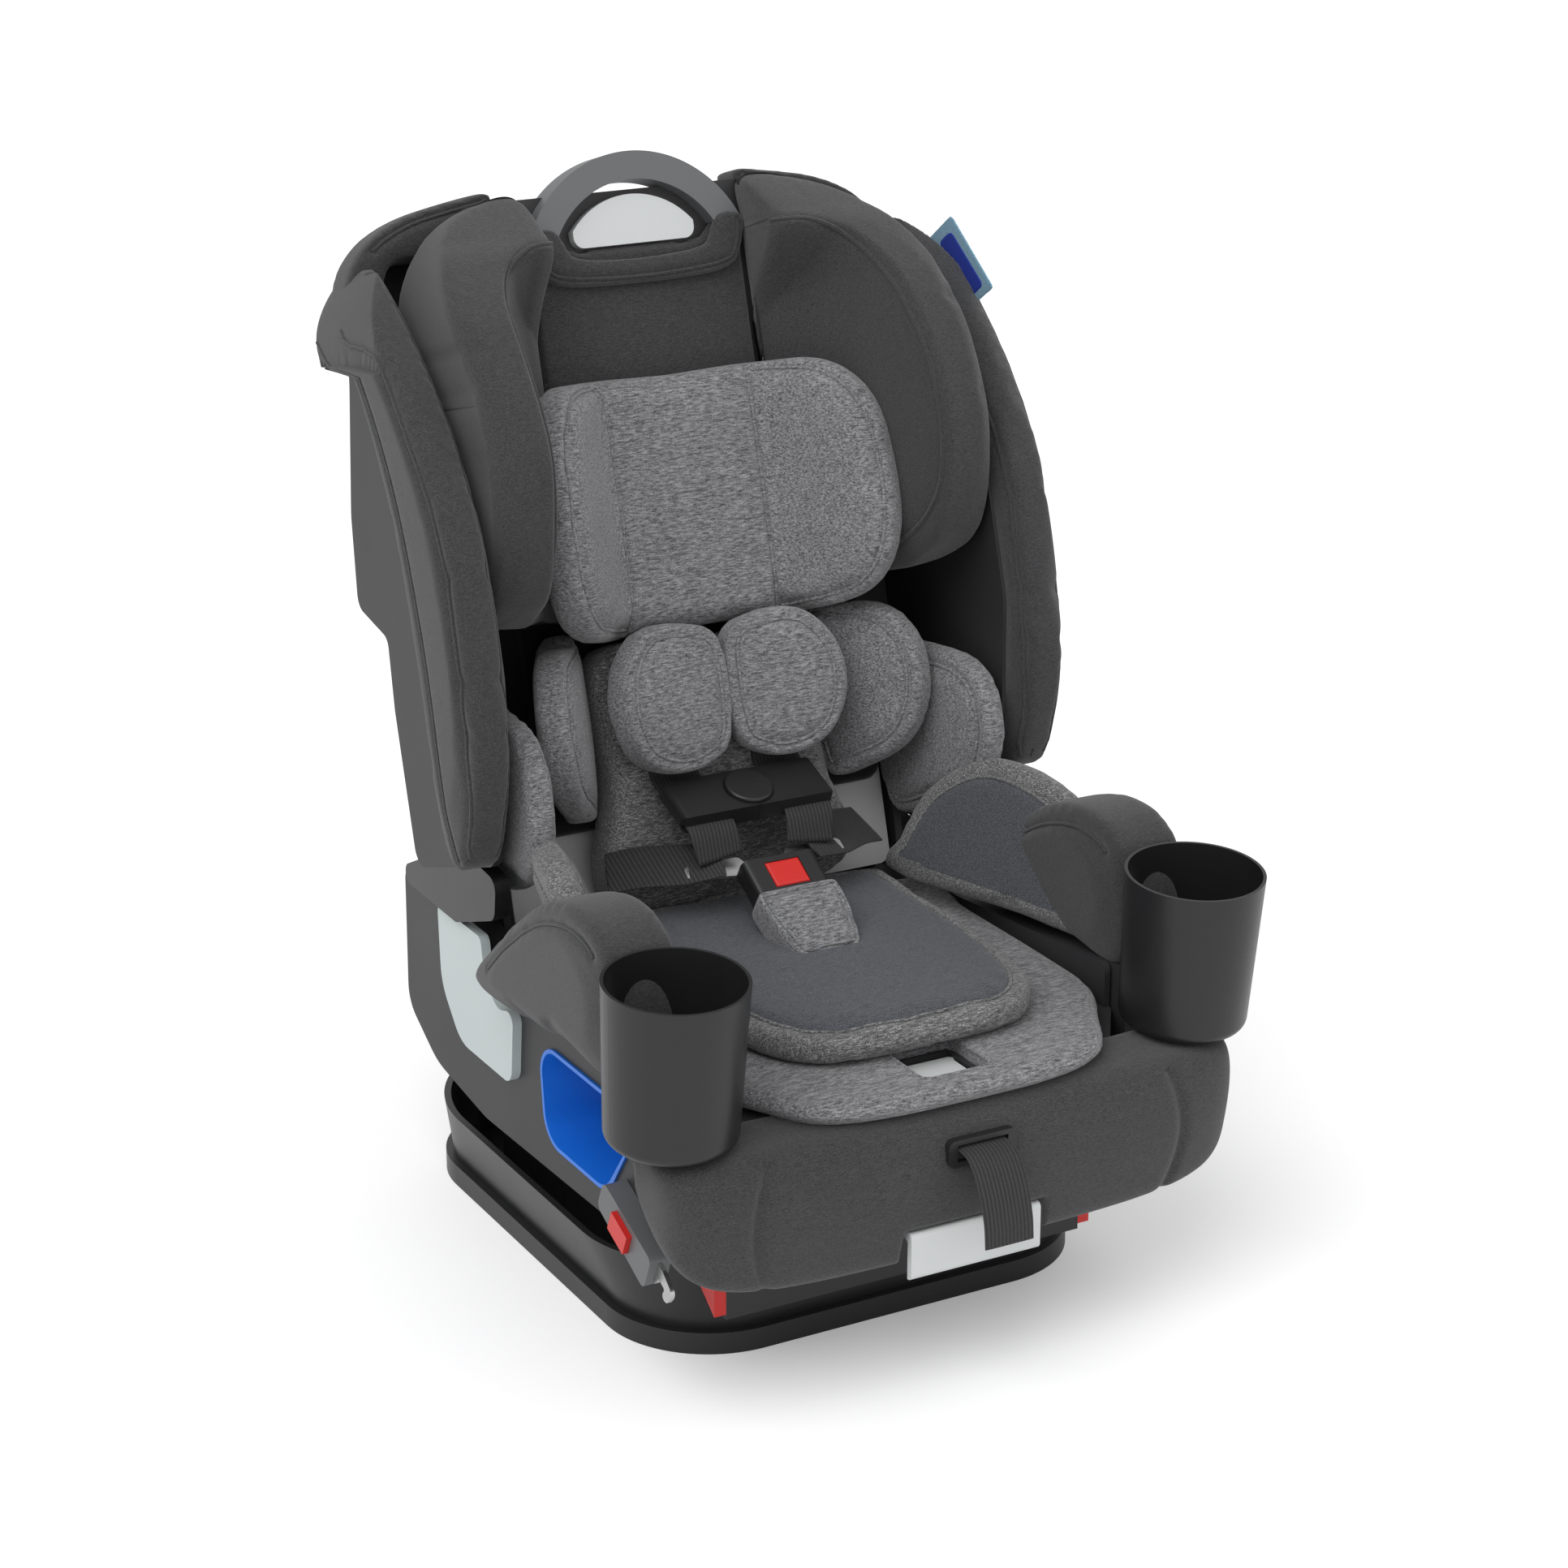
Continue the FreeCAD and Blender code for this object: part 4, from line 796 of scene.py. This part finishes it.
def headrest_wings():
    outer = [(90, 477), (124, 474), (158, 458), (182, 426), (192, 384), (193, 300), (193, 214), (186, 188),
             (160, 180)]
    for name, s in SIDES:
        outline = smooth_loop(outer + [(120, 179), (88, 180), (87, 240), (87, 330), (87, 440)], 140)
        rim = smooth_line([(86, 478)] + outer[1:-2] + [(193, 150)], 90)
        band = 41.0
        piping = smooth_line([(87, 440), (112, 437), (134, 422), (147, 394), (151, 350), (151, 290), (151, 236),
                              (144, 206), (128, 190)], 70)

        def front(a, b):
            away = distance_to(rim, np.stack([a, b], -1))
            scoop = np.exp(-(np.maximum(away - band, 0.0) / 30.0) ** 1.25)
            step = 5.0 * np.clip((away - band) / 5.0 + 0.5, 0.0, 1.0)
            return 15.0 + (nose(b) - 15.0 - step) * scoop

        def place(a, b, c, s=s):
            a, b, c = np.atleast_1d(a, b, c)
            return back(s * a, b, np.where(c > 0, front(a, b) + c - 13, 8 + c + 13))

        obj = pad("headrest_wing_cover_" + name, outline, 26, place, edge=11, voxel=4.0, pressure=1.5,
                  limit=3.0, seams=[(piping, False, 1)], groove=2.5, piping=1.6)
        dress(obj, "charcoal_fabric", "headrest", ["headrest_wing_" + name])


def headrest_panel():
    outline = rounded([(-86, 178, 8), (86, 178, 8), (86, 462, 8), (66, 462, 8), (58, 436, 14),
                       (-58, 436, 14), (-66, 462, 8), (-86, 462, 8)], 120)

    def place(a, b, c):
        return back(a, b, 11.5 + c)

    obj = pad("headrest_panel_cover", outline, 8, place, edge=2.5, voxel=4.0, pressure=0, crown=1.5, piping=0)
    dress(obj, "charcoal_fabric", "headrest", ["headrest_panel"])
    collar = smooth_loop([(-84, 450), (-82, 430), (-66, 412), (0, 408), (66, 412), (82, 430), (84, 450),
                          (66, 452), (58, 440), (50, 430), (0, 426), (-50, 430), (-58, 440), (-66, 452)], 120)

    def lip(a, b, c):
        return back(a, b, 20 + c)

    seam = smooth_line([(-80, 446), (-76, 428), (-62, 417), (0, 413), (62, 417), (76, 428), (80, 446)])
    obj = pad("handle_collar_roll", collar, 10, lip, edge=4.5, voxel=3.0, pressure=0,
              seams=[(seam, False, 1)])
    dress(obj, "charcoal_fabric", "headrest", ["handle_collar"])


def torso_back():
    outline = smooth_loop([(-88, -30), (88, -30), (90, 60), (86, 150), (0, 154), (-86, 150), (-90, 60)])

    def place(a, b, c):
        return back(a, b, 20 + c)

    obj = pad("torso_back_pad", outline, 36, place, crown=1.0, pressure=1.5, piping=0)
    dress(obj, "melange_fabric", "seat", ["torso_pad"], material="lap")


def crotch_cover():
    slope = math.radians(31)

    def place(a, b, c):
        c2, s2 = math.cos(slope), math.sin(slope)
        return seat(a, -66 + b * c2 - (c + 1) * s2, 262 + b * s2 + (c + 1) * c2)

    outline = smooth_loop([(-22, -58), (0, -59), (22, -58), (29, -36), (32, -18), (31, 0), (14, 2), (-14, 2),
                           (-31, 0), (-32, -18), (-29, -36)])
    obj = pad("crotch_pad", outline, 25, place, voxel=3.0, crown=1.0, pressure=1.0,
              seams=[(inset(outline, 5), True, 1)])
    dress(obj, "melange_fabric", "seat", ["crotch_cover"])


# Flat webbing, sewn flat or folded, along a path of points
def strap(name, path, width, thick, across=(1.0, 0.0, 0.0), steps=60):
    line = smooth_line(path, steps)
    heading = np.gradient(line, axis=0)
    heading /= np.linalg.norm(heading, axis=1, keepdims=True)
    widths = np.interp(np.linspace(0, 1, steps), np.linspace(0, 1, len(width)), width)
    side = np.array(across, float)
    section = rounded([(-0.5, -0.5, 0.3), (0.5, -0.5, 0.3), (0.5, 0.5, 0.3), (-0.5, 0.5, 0.3)], 24)

    def point(t, s):
        i = min(int(round(s * (steps - 1))), steps - 1)
        up = np.cross(heading[i], side)
        up /= np.linalg.norm(up)
        flat = np.cross(up, heading[i])
        a, b = ring_at(section, t)
        return line[i] - flat * a * widths[i] + up * b * thick

    return wrapped(name, 24, steps - 1, point)


def harness():
    for name, s in SIDES:
        path = [back(s * 41, 150, 42), back(s * 41, 100, 42), back(s * 41, 70, 43), back(s * 41, 56, 46),
                seat(s * 41, 2, 317), seat(s * 39, -18, 306), seat(s * 36, -27, 284)]
        obj = strap("shoulder_strap_" + name, path, (38, 38, 38, 38, 36), 1.7)
        dress(obj, "webbing", None, ["shoulder_straps"])
        tuple(seat(s * 41, 2, 317) * MM)
        tuple(back(s * 41, 150, 42) * MM)
        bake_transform(obj)
        path = [seat(s * 34, -26, 283), seat(s * 56, -18, 281), seat(s * 84, 2, 277), seat(s * 106, 14, 272)]
        obj = strap("lap_strap_" + name, path, (30, 36, 36, 36), 1.7, across=(0.0, 0.9, 0.42))
        dress(obj, "webbing", "seat", ["lap_straps"])
    path = [seat(0, -102, 239), seat(0, -96, 243), seat(0, -88, 248), seat(0, -82, 252)]
    obj = strap("crotch_web", path, (36, 36), 1.7, steps=16)
    dress(obj, "webbing", "seat", ["crotch_strap"])
    path = [seat(0, -302, 171), seat(0, -318, 176), seat(0, -334, 172), seat(0, -346, 156), seat(0, -353, 136),
            seat(0, -355, 119)]
    obj = strap("adjuster_web", path, (37, 37), 1.8)
    dress(obj, "webbing", "seat", ["adjuster_strap"])


def tag():
    outline = rounded([(30, 416, 3), (68, 430, 3), (114, 372, 3), (76, 360, 3)], 60)

    def place(a, b, c):
        return back(231.9 + c, b, a)

    obj = pad("tag_cloth", outline, 1.6, place, edge=0.5, voxel=0.8, pressure=0, piping=0)
    dress(obj, "tag_fabric", "seat", ["fabric_tag"])
    inner = rounded([(46, 412, 6), (66, 419, 6), (102, 375, 6), (82, 368, 6)], 60)
    patch = pad("tag_patch", inner, 2.6, place, edge=0.6, voxel=0.8, pressure=0, piping=0)
    dress(patch, "tag_fabric", "seat", material="patch")


def lining():
    outline = rounded([(-154, 24, 12), (154, 24, 12), (154, 438, 28), (-154, 438, 28)], 160)

    def place(a, b, c):
        return back(a, b, -6.2 + c)

    seams = [(np.array([(x, u) for u in np.linspace(40, 425, 60)]), False, 1) for x in (-122, 122)]
    obj = pad("back_lining_cover", outline, 11, place, edge=4, voxel=5.0, pressure=0, seams=seams, piping=0)
    dress(obj, "lining_fabric", "seat", ["back_lining"])


def paint_cad():
    for entry in frame["record"]["subparts"]:
        obj = frame["nodes"][entry["node"]]
        obj.data.materials.clear()
        obj.data.materials.append(MATERIALS[entry["material_slot"]])


add_camera()
add_light()
add_floor()
paint_cad()
head_pillow()
neck_pillow()
torso_wings()
lap_cushion()
seat_cushion()
boot()
armrests()
outer_wings()
headrest_wings()
headrest_panel()
torso_back()
crotch_cover()
harness()
tag()
lining()
